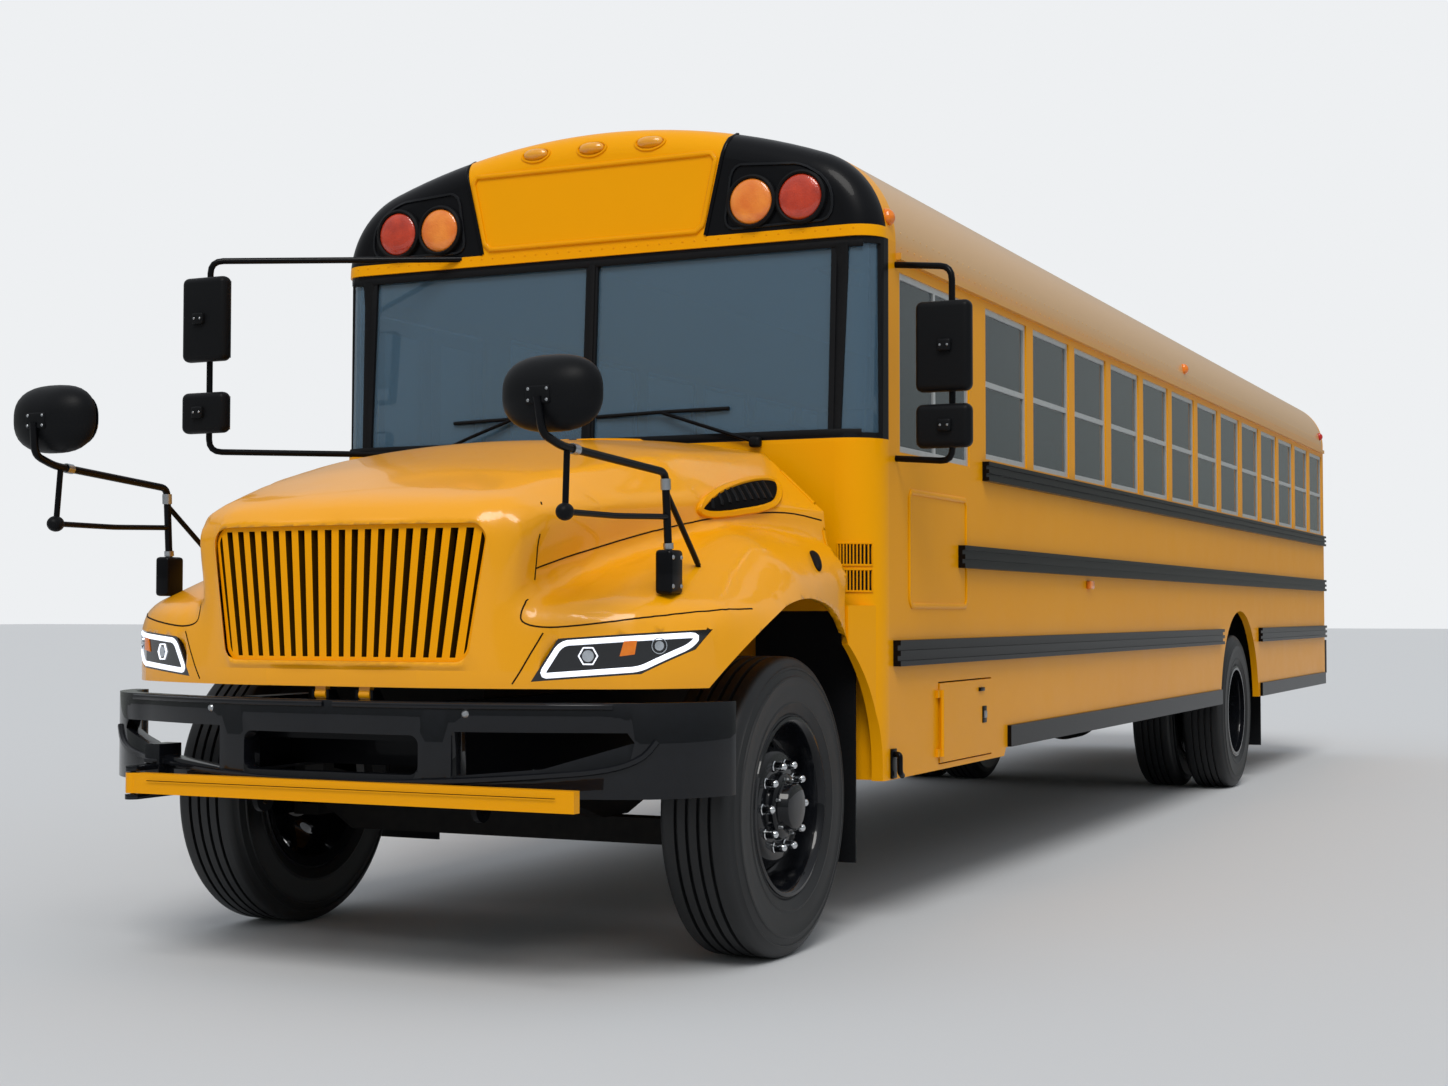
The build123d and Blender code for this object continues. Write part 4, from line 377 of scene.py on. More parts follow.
def from_points(points, edges=(), faces=()):
    """Active mesh object made of the given points, edges and faces."""
    mesh = bpy.data.meshes.new("draft")
    mesh.from_pydata([tuple(point) for point in points], edges, faces)
    draft = bpy.data.objects.new("draft", mesh)
    bpy.context.collection.objects.link(draft)
    deselect()
    bpy.context.view_layer.objects.active = draft
    draft.select_set(True)
    return draft


def clean_mesh():
    """Merges doubles of the active mesh and points its faces outwards."""
    bpy.ops.object.mode_set(mode="EDIT")
    bpy.ops.mesh.select_all(action="SELECT")
    bpy.ops.mesh.remove_doubles(threshold=0.0001)
    bpy.ops.mesh.normals_make_consistent(inside=False)
    bpy.ops.object.mode_set(mode="OBJECT")


def spun(profile, centre, steps, axis=(0, 1, 0)):
    """Active mesh: a profile of (radius, place along the axis) spun about the axis at centre."""
    along = Vector(axis)
    out = Vector((1, 0, 0)) if abs(along.x) < 0.5 else Vector((0, 0, 1))
    base = Vector(centre)
    points = [base + out * radius + along * place for radius, place in profile]
    made = from_points(points, edges=[(at, at + 1) for at in range(len(points) - 1)])
    bpy.ops.object.mode_set(mode="EDIT")
    bpy.ops.mesh.select_all(action="SELECT")
    bpy.ops.mesh.spin(steps=steps, angle=2 * pi, center=base, axis=along)
    bpy.ops.object.mode_set(mode="OBJECT")
    clean_mesh()
    return made


def turned(name, body, finish, profile, centre, steps=72, axis=(0, 1, 0), smooth=38):
    """Ring or disc with a name and a finish, riding on its body."""
    spun(profile, centre, steps, axis)
    return settle(name, body, finish, smooth=smooth)


tyre_rubber, tree, shader, place = two_tones("tyre_rubber", "08090B", "15171A", 9.0, 6.0)[:4]
fine = add_node(
    tree, "ShaderNodeTexNoise", {"Scale": 220.0, "Detail": 2.0}, {"Vector": place.outputs["Object"]}
)
relief = add_node(
    tree, "ShaderNodeBump", {"Strength": 0.15, "Distance": 0.002}, {"Height": fine.outputs[0]}
)
tree.links.new(relief.outputs[0], shader.inputs["Normal"])
shader.inputs["Roughness"].default_value = 0.52
TYRE_SIDE = (
    (0.290, 0.108),
    (0.298, 0.121),
    (0.306, 0.124),
    (0.312, 0.119),
    (0.318, 0.126),
    (0.345, 0.1335),
    (0.348, 0.1365),
    (0.353, 0.1365),
    (0.356, 0.1345),
    (0.395, 0.1385),
    (0.430, 0.1375),
    (0.433, 0.1395),
    (0.439, 0.1390),
    (0.442, 0.1350),
    (0.462, 0.1300),
    (0.465, 0.1330),
    (0.472, 0.1310),
    (0.476, 0.1250),
    (0.492, 0.1190),
    (0.500, 0.1130),
    (0.506, 0.1040),
    (0.5075, 0.0960),
)
SIDES = ((1, "left"), (-1, "right"))
GROOVES = (0.060, 0.020)
TYRE_HALF = 0.135
TYRE_STEPS = 96
tyre_profile = list(TYRE_SIDE)
for middle in GROOVES + tuple(-groove for groove in reversed(GROOVES)):
    tyre_profile += [
        (0.508, middle + 0.0065),
        (0.494, middle + 0.0045),
        (0.494, middle - 0.0045),
        (0.508, middle - 0.0065),
    ]
tyre_profile += [(radius, -place) for radius, place in reversed(TYRE_SIDE)]
front_low, front_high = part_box("tyre_front_left")
rear_low, rear_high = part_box("tyres_rear_left")
AXLE = (front_low.x + front_high.x) / 2
REAR_AXLE = (rear_low.x + rear_high.x) / 2
WHEEL_Z = (front_low.z + front_high.z) / 2
TYRE_Y = (front_low.y + front_high.y) / 2
TWIN_IN = rear_low.y + TYRE_HALF
TWIN_OUT = rear_high.y - TYRE_HALF
for side, mark in SIDES:
    tyre = turned(
        "tyre_front_tread_" + mark,
        "wheel_front_" + mark,
        tyre_rubber,
        tyre_profile + tyre_profile[:1],
        (AXLE, side * TYRE_Y, WHEEL_Z),
        steps=TYRE_STEPS,
    )
    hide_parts("tyre_front_" + mark)
    for across, twin in ((TWIN_IN, "inner"), (TWIN_OUT, "outer")):
        tyre = turned(
            "tyre_rear_" + twin + "_tread_" + mark,
            "wheels_rear_" + mark,
            tyre_rubber,
            tyre_profile + tyre_profile[:1],
            (REAR_AXLE, side * across, WHEEL_Z),
            steps=TYRE_STEPS,
        )
        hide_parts("tyres_rear_" + mark)

# Front wheels. Pressed steel discs welded in a rolled rim, in glossy black enamel: a dish that
# rises to the flat that the ten chromed nuts clamp, round hand holes in its slope, and a hub with
# an oil cap held by small plated bolts.
RIM_PROFILE = (
    (0.000, -0.040),
    (0.120, -0.040),
    (0.120, 0.060),
    (0.178, 0.066),
    (0.236, -0.004),
    (0.262, -0.020),
    (0.268, -0.118),
    (0.302, -0.129),
    (0.303, -0.120),
    (0.289, -0.112),
    (0.289, 0.108),
    (0.303, 0.116),
    (0.306, 0.122),
    (0.303, 0.128),
    (0.292, 0.130),
    (0.283, 0.124),
    (0.277, 0.106),
    (0.270, 0.060),
    (0.262, 0.018),
    (0.250, 0.006),
    (0.238, 0.012),
    (0.200, 0.062),
    (0.186, 0.078),
    (0.176, 0.082),
    (0.116, 0.082),
    (0.112, 0.088),
    (0.110, 0.104),
    (0.103, 0.110),
    (0.084, 0.112),
    (0.080, 0.118),
    (0.079, 0.140),
    (0.074, 0.147),
    (0.060, 0.150),
    (0.030, 0.152),
    (0.000, 0.1525),
)
RIM_STEPS = 80
HAND_HOLES = 10
HAND_HOLE_AT = 0.221
HAND_HOLE_R = 0.021
NUTS = 10
NUT_AT = 0.142875


def cut_holes(piece, centre, reach, radius, count, at):
    """Bores a ring of round holes through a disc, parallel to its axle."""
    deselect()
    cutters = []
    for hole in range(count):
        angle = 2 * pi * (hole + 0.5) / count
        spot = (centre[0] + at * cos(angle), centre[1], centre[2] + at * sin(angle))
        bpy.ops.mesh.primitive_cylinder_add(
            vertices=24, radius=radius, depth=reach, location=spot, rotation=(pi / 2, 0, 0)
        )
        cutters.append(bpy.context.object)
    deselect()
    for cutter in cutters:
        cutter.select_set(True)
    bpy.context.view_layer.objects.active = cutters[0]
    bpy.ops.object.join()
    tool = bpy.context.object
    deselect()
    bpy.context.view_layer.objects.active = piece
    piece.select_set(True)
    cut = piece.modifiers.new("hand_holes", "BOOLEAN")
    cut.operation = "DIFFERENCE"
    cut.solver = "EXACT"
    cut.object = tool
    bpy.ops.object.modifier_apply(modifier=cut.name)
    bpy.data.objects.remove(tool, do_unlink=True)
    bpy.ops.object.shade_smooth_by_angle(angle=radians(38))


def copies(name, body, finish, seed, places, smooth=38):
    """One piece made of copies of a small mesh, each moved by one matrix; the seed is used up."""
    points = [vertex.co.copy() for vertex in seed.data.vertices]
    faces = [tuple(face.vertices) for face in seed.data.polygons]
    every_point = []
    every_face = []
    for place in places:
        start = len(every_point)
        every_point += [place @ point for point in points]
        every_face += [tuple(start + corner for corner in face) for face in faces]
    bpy.data.objects.remove(seed, do_unlink=True)
    from_points(every_point, faces=every_face)
    return settle(name, body, finish, smooth=smooth)


def wheel_nut():
    """Flanged nut with a domed cap, its seat at the origin and its axis along +Y."""
    flange = ((0.0165, 0.0), (0.0195, 0.001), (0.0195, 0.004), (0.0165, 0.006))
    dome = ((0.0150, 0.024), (0.0142, 0.036), (0.0110, 0.043), (0.0055, 0.0465), (0.0, 0.0475))
    return spun(flange + dome, (0, 0, 0), 12)


def ring_of(centre, side, at, count, along, start=0.0):
    """Matrices for copies in a ring round an axle; the copies' +Y looks outwards."""
    turn = Matrix.Identity(4) if side > 0 else Matrix.Rotation(pi, 4, "Z")
    spots = []
    for number in range(count):
        angle = start + 2 * pi * number / count
        across = centre[1] + side * along
        spot = (centre[0] + at * cos(angle), across, centre[2] + at * sin(angle))
        spots.append(Matrix.Translation(spot) @ turn)
    return spots


for side, mark in SIDES:
    hub = (AXLE, side * TYRE_Y, WHEEL_Z)
    disc = turned(
        "front_wheel_disc_" + mark,
        "wheel_front_" + mark,
        wheel_coat,
        [(radius, side * along) for radius, along in RIM_PROFILE],
        hub,
        steps=RIM_STEPS,
    )
    middle = (hub[0], hub[1] + side * 0.03, hub[2])
    cut_holes(disc, middle, 0.13, HAND_HOLE_R, HAND_HOLES, HAND_HOLE_AT)
    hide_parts("wheel_front_" + mark)
    copies(
        "front_wheel_nuts_" + mark,
        "wheel_front_" + mark,
        chrome,
        wheel_nut(),
        ring_of(hub, side, NUT_AT, NUTS, 0.082),
    )
    copies(
        "front_hub_bolts_" + mark,
        "wheel_front_" + mark,
        zinc,
        wheel_nut(),
        [place @ Matrix.Scale(0.34, 4) for place in ring_of(hub, side, 0.094, 6, 0.111, start=0.3)],
    )

# Rear wheels. Twin rims bolted back to back, in the same enamel: the outer disc lies deep inside
# its rim, and the hub stands out of it, ringed by ten nuts.
REAR_RIM = (
    (0.289, 0.100),
    (0.303, 0.116),
    (0.306, 0.122),
    (0.303, 0.128),
    (0.292, 0.130),
    (0.283, 0.124),
    (0.2745, 0.100),
    (0.2745, 0.080),
)
for side, mark in SIDES:
    hub = (REAR_AXLE, side * TWIN_OUT, WHEEL_Z)
    turned(
        "rear_rim_edge_" + mark,
        "wheels_rear_" + mark,
        wheel_coat,
        [(radius, side * along) for radius, along in REAR_RIM + REAR_RIM[:1]],
        hub,
        steps=RIM_STEPS,
    )
    copies(
        "rear_wheel_nuts_" + mark,
        "wheels_rear_" + mark,
        chrome,
        wheel_nut(),
        ring_of(hub, side, NUT_AT, NUTS, -0.115),
    )
    turned(
        "rear_hub_cover_" + mark,
        "wheels_rear_" + mark,
        wheel_coat,
        [
            (0.112, side * -0.100),
            (0.1135, side * -0.020),
            (0.108, side * 0.002),
            (0.086, side * 0.004),
            (0.084, side * 0.020),
            (0.078, side * 0.028),
            (0.000, side * 0.030),
        ],
        hub,
        steps=48,
    )
    copies(
        "rear_hub_bolts_" + mark,
        "wheels_rear_" + mark,
        zinc,
        wheel_nut(),
        [place @ Matrix.Scale(0.36, 4) for place in ring_of(hub, side, 0.098, 8, 0.003, start=0.2)],
    )

# Front face of cowl and cap. Yellow below the windscreen, black rubber round the panes, and on the
# cap two black corner panels that carry the warning lamps.
SCREEN_FOOT = 1.806
cowl_paint, tree, shader, place, coat = enamel_coat("cowl_enamel", "F5A800", "EE9F00", 0.12)
split = add_node(tree, "ShaderNodeSeparateXYZ", links={0: place.outputs["Object"]})
above = add_node(
    tree, "ShaderNodeMath", {1: SCREEN_FOOT}, {0: split.outputs["Z"]}, operation="GREATER_THAN"
)
masked = add_node(
    tree,
    "ShaderNodeMix",
    {7: linear("17181A")},
    {0: above.outputs[0], 6: coat.outputs[2]},
    data_type="RGBA",
)
tree.links.new(masked.outputs[2], shader.inputs["Base Color"])
paint(cowl_paint, "front_cowl")

CORNER_LOW = 2.598
CORNER_IN = 0.497
CORNER_SLOPE = 0.225
cap_paint, tree, shader, place, coat = enamel_coat("cap_enamel", "F5A800", "EE9F00", 0.12)
split = add_node(tree, "ShaderNodeSeparateXYZ", links={0: place.outputs["Object"]})
across = add_node(tree, "ShaderNodeMath", links={0: split.outputs["Y"]}, operation="ABSOLUTE")
drop = add_node(
    tree, "ShaderNodeMath", {1: CORNER_LOW}, {0: split.outputs["Z"]}, operation="SUBTRACT"
)
lean = add_node(
    tree,
    "ShaderNodeMath",
    {1: CORNER_SLOPE, 2: CORNER_IN},
    {0: drop.outputs[0]},
    operation="MULTIPLY_ADD",
)
outside = add_node(
    tree,
    "ShaderNodeMath",
    links={0: across.outputs[0], 1: lean.outputs[0]},
    operation="GREATER_THAN",
)
over = add_node(
    tree, "ShaderNodeMath", {1: CORNER_LOW}, {0: split.outputs["Z"]}, operation="GREATER_THAN"
)
fore = add_node(
    tree, "ShaderNodeMath", {1: AXLE - 0.700}, {0: split.outputs["X"]}, operation="GREATER_THAN"
)
corner = add_node(
    tree, "ShaderNodeMath", links={0: outside.outputs[0], 1: over.outputs[0]}, operation="MULTIPLY"
)
corner = add_node(
    tree, "ShaderNodeMath", links={0: corner.outputs[0], 1: fore.outputs[0]}, operation="MULTIPLY"
)
masked = add_node(
    tree,
    "ShaderNodeMix",
    {7: linear("0D0E11")},
    {0: corner.outputs[0], 6: coat.outputs[2]},
    data_type="RGBA",
)
tree.links.new(masked.outputs[2], shader.inputs["Base Color"])
paint(cap_paint, "front_cap")

# Hood. One pressed shell with both fenders: the crown, the brow above the grille and the fenders
# run into each other in soft curves, while the edges of its openings and its flat hem stay crisp.
# The seams that part the grille shell, the fender tops and the lamp pods are thin dark beads of
# painted shade.
SHELL_CELL = 0.032
CRISP_ANGLE = 85
SOFTENING = 46
HEM_TOP = 0.985
DOUBLES = 0.00005
SLIVER = 0.0008
BEAD_SINK = 0.003
PATCH_SINK = 0.004


def copy_of(node, name):
    """Active copy of a CAD node's mesh, to be worked into a finer piece."""
    piece = bpy.data.objects.new(name, cad[node].data.copy())
    piece.matrix_world = cad[node].matrix_world
    bpy.context.collection.objects.link(piece)
    deselect()
    bpy.context.view_layer.objects.active = piece
    piece.select_set(True)
    return piece


def soften(piece, cell, crisp, rounds, hem):
    """Cuts a mesh into small cells and relaxes it; sharp outer edges and all below the hem stay."""
    low = Vector([min(corner[axis] for corner in piece.bound_box) for axis in range(3)])
    high = Vector([max(corner[axis] for corner in piece.bound_box) for axis in range(3)])
    mesh = bmesh.new()
    mesh.from_mesh(piece.data)
    bmesh.ops.remove_doubles(mesh, verts=mesh.verts, dist=DOUBLES)
    for axis in range(3):
        normal = Vector([1.0 if axis == at else 0.0 for at in range(3)])
        for number in range(1, int((high[axis] - low[axis]) / cell)):
            plane = low + normal * cell * number
            every = mesh.verts[:] + mesh.edges[:] + mesh.faces[:]
            bmesh.ops.bisect_plane(mesh, geom=every, dist=DOUBLES, plane_co=plane, plane_no=normal)
    bmesh.ops.dissolve_degenerate(mesh, dist=SLIVER, edges=mesh.edges[:])
    held = set()
    for edge in mesh.edges:
        if len(edge.link_faces) != 2 or edge.calc_face_angle_signed(0) > crisp:
            held.update(edge.verts)
    for face in mesh.faces:
        if face.calc_center_median().z < hem:
            held.update(face.verts)
    free = [vertex for vertex in mesh.verts if vertex not in held]
    for _ in range(rounds):
        bmesh.ops.smooth_vert(
            mesh, verts=free, factor=0.5, use_axis_x=True, use_axis_y=True, use_axis_z=True
        )
    mesh.to_mesh(piece.data)
    mesh.free()


skin = copy_of("hood", "hood_skin")
soften(skin, SHELL_CELL, radians(CRISP_ANGLE), SOFTENING, HEM_TOP)
hood_enamel, tree, shader = enamel_coat("hood_enamel", "F5A800", "EE9F00", 0.0)[:3]
shader.inputs["Specular IOR Level"].default_value = 0.3
shader.inputs["Coat Weight"].default_value = 0.45
skin = settle("hood_skin", "hood", hood_enamel, smooth=40)
for face in skin.data.polygons:
    face.use_smooth = face.center.z > HEM_TOP
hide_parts("hood")


def tree_of(*pieces):
    """Ray-casting tree over the meshes of several objects."""
    points = []
    faces = []
    for piece in pieces:
        start = len(points)
        points += [piece.matrix_world @ vertex.co for vertex in piece.data.vertices]
        faces += [tuple(start + corner for corner in face.vertices) for face in piece.data.polygons]
    return BVHTree.FromPolygons(points, faces)


def placed(points, side=1):
    """Model points from (metres ahead of the front axle, Y, Z), mirrored for side -1."""
    return [Vector((AXLE + station, side * across, height)) for station, across, height in points]


def dense(points, step, closed=False):
    """A broken line with points put in, so that none are farther apart than the step."""
    ends = points + points[:1] if closed else points
    filled = []
    for first, second in zip(ends, ends[1:]):
        count = max(1, round((second - first).length / step))
        filled += [first.lerp(second, at / count) for at in range(count)]
    return filled if closed else filled + [points[-1]]


def eased(points, rounds=2, closed=False):
    """Rounds the corners of a broken line by cutting them off a few times."""
    for _ in range(rounds):
        ends = points + points[:1] if closed else points
        cut = []
        for first, second in zip(ends, ends[1:]):
            cut += [first.lerp(second, 0.25), first.lerp(second, 0.75)]
        points = cut if closed else [points[0]] + cut[1:-1] + [points[-1]]
    return points


def faced(tree, points, way=(-1, 0, 0)):
    """(Place, normal) where lines along the way through each point first meet the surface."""
    along = Vector(way)
    hits = [tree.ray_cast(point - along * 0.6, along)[:2] for point in points]
    return [hit for hit in hits if hit[0]]


def laid(tree, points):
    """Nearest (place, normal) on the surface for each point."""
    return [tree.find_nearest(point)[:2] for point in points]


def bead(name, body, finish, spots, width, height, closed=False):
    """Low strip with rounded shoulders that follows surface spots of (place, normal)."""
    half = [(0.5, -BEAD_SINK), (0.5, height * 0.5), (0.3, height)]
    section = [(-reach, lift) for reach, lift in half] + half[::-1]
    count = len(spots)
    sides = len(section)
    points = []
    for at, (place, normal) in enumerate(spots):
        before = spots[(at - 1) % count if closed else max(at - 1, 0)][0]
        after = spots[(at + 1) % count if closed else min(at + 1, count - 1)][0]
        across = (after - before).cross(normal).normalized()
        points += [place + across * (reach * width) + normal * lift for reach, lift in section]
    faces = []
    for at in range(count if closed else count - 1):
        here = at * sides
        there = (at + 1) % count * sides
        for edge in range(sides):
            after = (edge + 1) % sides
            faces.append((here + edge, here + after, there + after, there + edge))
    if not closed:
        faces += [tuple(range(sides)), tuple(range((count - 1) * sides, count * sides))]
    from_points(points, faces=faces)
    clean_mesh()
    return settle(name, body, finish, smooth=50)


def patch(name, body, finish, tree, outline, lift, rings=4, way=None):
    """Thin sheet inside a closed outline, laid on a surface or cast on it, and lifted off it."""

    def found(spots):
        return faced(tree, spots, way) if way else laid(tree, spots)

    middle = sum(outline, Vector()) / len(outline)
    count = len(outline)
    points = [place - normal * PATCH_SINK for place, normal in found(outline)]
    for ring in range(rings):
        shrunk = [middle.lerp(point, 1 - ring / rings) for point in outline]
        points += [place + normal * lift for place, normal in found(shrunk)]
    place, normal = found([middle])[0]
    points.append(place + normal * lift)
    faces = []
    for at in range(count):
        after = (at + 1) % count
        for here in range(0, rings * count, count):
            there = here + count
            faces.append((here + at, here + after, there + after, there + at))
        faces.append((rings * count + at, rings * count + after, len(points) - 1))
    from_points(points, faces=faces)
    clean_mesh()
    return settle(name, body, finish, smooth=50)


def dome():
    """Low round rivet head of unit radius, its base at the origin and its crown along +Z."""
    bpy.ops.mesh.primitive_cone_add(
        vertices=8, radius1=1.0, radius2=0.62, depth=0.42, location=(0, 0, 0.17)
    )
    head = bpy.context.object
    deselect()
    head.select_set(True)
    bpy.ops.object.transform_apply(location=True)
    return head


def studded(name, body, finish, spots, radius):
    """Rivet or bolt heads of one radius on surface spots of (place, normal)."""
    places = []
    for place, normal in spots:
        turn = Vector((0, 0, 1)).rotation_difference(normal).to_matrix().to_4x4()
        places.append(Matrix.Translation(place) @ turn @ Matrix.Scale(radius, 4))
    return copies(name, body, finish, dome(), places, smooth=50)


def pipe(name, body, finish, points, radius, sides=3, bend=0.03):
    """Round tube along points, its corners bent over a few short steps."""
    route = [points[0]]
    for before, corner, after in zip(points, points[1:], points[2:]):
        enter = corner + (before - corner).normalized() * bend
        leave = corner + (after - corner).normalized() * bend
        for share in (0.0, 0.25, 0.5, 0.75, 1.0):
            route.append(enter.lerp(corner, share).lerp(corner.lerp(leave, share), share))
    route.append(points[-1])
    from_points(route, edges=[(at, at + 1) for at in range(len(route) - 1)])
    bpy.ops.object.convert(target="CURVE")
    line = bpy.context.object
    line.data.bevel_depth = radius
    line.data.bevel_resolution = sides
    line.data.use_fill_caps = True
    bpy.ops.object.convert(target="MESH")
    return settle(name, body, finish, smooth=50)


def plain_box(size):
    """Active box of the given size at the origin."""
    bpy.ops.mesh.primitive_cube_add(size=1)
    piece = bpy.context.object
    piece.scale = size
    deselect()
    piece.select_set(True)
    bpy.ops.object.transform_apply(scale=True)
    return piece


def round_edges(piece, width, segments, sharper=30):
    """Rounds the active piece's edges that fold by more than the given degrees."""
    rounded = piece.modifiers.new("edge_round", "BEVEL")
    rounded.width = width
    rounded.segments = segments
    rounded.limit_method = "ANGLE"
    rounded.angle_limit = radians(sharper)
    bpy.ops.object.modifier_apply(modifier=rounded.name)


def block(name, body, finish, size, centre, bevel=0.0, segments=2, turn=(0, 0, 0)):
    """Box with rounded edges."""
    piece = plain_box(size)
    if bevel:
        round_edges(piece, bevel, segments)
    piece.rotation_euler = turn
    piece.location = centre
    return settle(name, body, finish)


skin_tree = tree_of(skin)
# Dark shaded yellow for the seams: painted shade in the gaps between the panels.
painted_seam_and_groove_shade = plain_coat("seam_shadow", "1A1206", "231808", 0.7)
FRONT_SEAM = (
    (0.865, 0.626, 1.508),
    (0.915, 0.645, 1.403),
    (0.899, 0.628, 1.301),
    (0.906, 0.611, 1.227),
    (0.962, 0.613, 1.168),
    (0.975, 0.620, 1.130),
    (0.954, 0.693, 1.116),
    (0.920, 0.796, 1.124),
    (0.833, 0.957, 1.144),
    (0.674, 1.084, 1.165),
    (0.450, 1.160, 1.175),
)
SIDE_SEAM = (
    (0.899, 0.628, 1.301),
    (0.792, 0.653, 1.332),
    (0.613, 0.698, 1.377),
    (0.395, 0.767, 1.432),
    (0.162, 0.838, 1.477),
    (-0.066, 0.920, 1.509),
    (-0.277, 0.981, 1.521),
    (-0.445, 1.030, 1.497),
)
POD_SEAM = (
    (0.956, 0.688, 1.101),
    (0.972, 0.651, 1.034),
    (0.983, 0.623, 0.982),
    (0.990, 0.599, 0.945),
)
REAR_EDGE = (
    (-0.452, 0.020, 1.830),
    (-0.452, 0.500, 1.790),
    (-0.452, 0.850, 1.700),
    (-0.452, 0.985, 1.600),
    (-0.452, 1.030, 1.497),
    (-0.452, 1.050, 1.400),
    (-0.452, 1.090, 1.250),
)
for side, mark in SIDES:
    for title, route in (("front", FRONT_SEAM), ("side", SIDE_SEAM), ("pod", POD_SEAM)):
        spots = laid(skin_tree, dense(eased(placed(route, side)), 0.01))
        bead("hood_seam_" + title + "_" + mark, "hood", painted_seam_and_groove_shade, spots, 0.0050, 0.0014)
    spots = laid(skin_tree, dense(eased(placed(REAR_EDGE, side)), 0.02))
    bead("hood_rear_bead_" + mark, "hood", yellow, spots, 0.016, 0.005)

# Hood vents. A teardrop slot behind each fender's crown, in a raised painted rim, closed by a black
# moulded louvre, with a black sheet of painted shade in the slot behind its slats.
VENT = (
    (0.200, 0.841, 1.512),
    (0.103, 0.854, 1.567),
    (-0.083, 0.855, 1.613),
    (-0.247, 0.866, 1.640),
    (-0.340, 0.888, 1.640),
    (-0.329, 0.916, 1.608),
    (-0.233, 0.950, 1.555),
    (-0.160, 0.947, 1.531),
    (0.006, 0.896, 1.507),
    (0.130, 0.852, 1.492),
)
SLAT_TOPS = ((0.16, 0.845, 1.548), (-0.30, 0.885, 1.632))
SLAT_FEET = ((0.16, 0.850, 1.500), (-0.25, 0.945, 1.562))
SLATS = 9
for side, mark in SIDES:
    outline = eased(placed(VENT, side), closed=True)
    inward = Vector((0.05, -0.62 * side, -0.78)).normalized()
    # The sheet in the slot is painted shade; the slats are laid on it.
    screen = patch(
        "hood_vent_" + mark, "hood", painted_shade_black, skin_tree, outline, 0.008, rings=14, way=inward
    )
    screen_tree = tree_of(screen)
    spots = laid(skin_tree, dense(outline, 0.02, closed=True))
    bead("hood_vent_rim_" + mark, "hood", yellow, spots, 0.026, 0.014, closed=True)
    tops, feet = placed(SLAT_TOPS, side), placed(SLAT_FEET, side)
    for number in range(SLATS):
        share = (number + 0.8) / (SLATS + 1)
        slat = [tops[0].lerp(tops[1], share), feet[0].lerp(feet[1], share)]
        spots = faced(screen_tree, dense(slat, 0.015), inward)
        bead("hood_vent_slat_%d_%s" % (number, mark), "hood", black_plastic, spots, 0.014, 0.005)

# Grille. Upright bars of pressed sheet in the body's enamel, their flanks painted dark as deep
# shade, and behind them a black sheet of painted shade, so that the opening reads as a dark hollow.
bar_paint, tree, shader, place, coat = enamel_coat("grille_enamel", "F3A300", "EC9A00", 0.0)
bar_side = add_node(tree, "ShaderNodeSeparateXYZ", links={0: place.outputs["Normal"]})
# Painted shade: faces of the bars that turn away from the front are darkened towards a deep brown.
painted_flank_shade = add_node(
    tree,
    "ShaderNodeMapRange",
    {"From Min": 0.75, "From Max": 0.35, "To Max": 0.93},
    {"Value": bar_side.outputs["X"]},
)
masked = add_node(
    tree,
    "ShaderNodeMix",
    {7: linear("120C02")},
    {0: painted_flank_shade.outputs[0], 6: coat.outputs[2]},
    data_type="RGBA",
)
tree.links.new(masked.outputs[2], shader.inputs["Base Color"])
paint(bar_paint, "grille")
grille_low, grille_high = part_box("grille")
# Black sheet behind the bars: painted shade for the hollow behind the grille.
block(
    "grille_painted_shade_screen",
    "hood",
    painted_shade_black,
    (0.004, 1.13, 0.50),
    (grille_low.x - 0.035, 0, (grille_low.z + grille_high.z) / 2),
    turn=(0, radians(-4), 0),
)

# Headlights. A glossy black field under one lens in each fender: a white light tube all round it, a
# hexagonal projector inboard, an amber reflector and a second lamp outboard.
lamp_field = plain_coat("smoked_lamp_housing", "0D0F12", "1A1D22", 0.08, coat=1.0, grain=8.0)
paint(lamp_field, "headlights")
halo, tree, shader = two_tones("white_light_tube", "F4F7FF", "E6ECF8", 30.0)[:3]
shader.inputs["Emission Color"].default_value = linear("EEF3FF")
shader.inputs["Emission Strength"].default_value = 0.9
shader.inputs["Roughness"].default_value = 0.25
amber_resin = plain_coat("amber_lens", "E26A0A", "F08A1C", 0.14, coat=0.8, grain=60.0)
red_resin = plain_coat("red_lens", "A81408", "C4240E", 0.14, coat=0.8, grain=60.0)
bright = plain_coat("bright_reflector", "DDE2E8", "B8BEC6", 0.1, metal=1.0)
paint(amber_resin, "lamps_amber")
paint(red_resin, "lamps_red")
lamp_tree = tree_of(cad["headlights"])
PROJECTOR = (0.913, 0.821, 1.031)
SECOND = (0.799, 1.005, 1.062)
REFLECTOR = (0.850, 0.930, 1.052)


def ring_on(tree, centre, radius, count):
    """Closed outline of a polygon or circle on the front of a surface, round a point of it."""
    place, normal = tree.find_nearest(centre)[:2]
    across = Vector((0, 0, 1)).cross(normal).normalized()
    up = normal.cross(across)
    angles = [2 * pi * at / count for at in range(count)]
    return [place + (across * cos(angle) + up * sin(angle)) * radius for angle in angles]


def inset(outline, gap):
    """Outline in Y and Z moved inwards by the gap, corner by corner; it runs clockwise or not."""
    count = len(outline)
    area = sum(a[0] * b[1] - b[0] * a[1] for a, b in zip(outline, outline[1:] + outline[:1]))
    turn = 1 if area > 0 else -1
    moved = []
    for at in range(count):
        before, here, after = outline[at - 1], outline[at], outline[(at + 1) % count]
        first = Vector((here[0] - before[0], here[1] - before[1])).normalized()
        second = Vector((after[0] - here[0], after[1] - here[1])).normalized()
        normal_one = Vector((-first.y, first.x)) * turn
        normal_two = Vector((-second.y, second.x)) * turn
        split = (normal_one + normal_two).normalized()
        reach = gap / max(0.45, split.dot(normal_one))
        moved.append((here[0] + split.x * reach, here[1] + split.y * reach))
    return moved


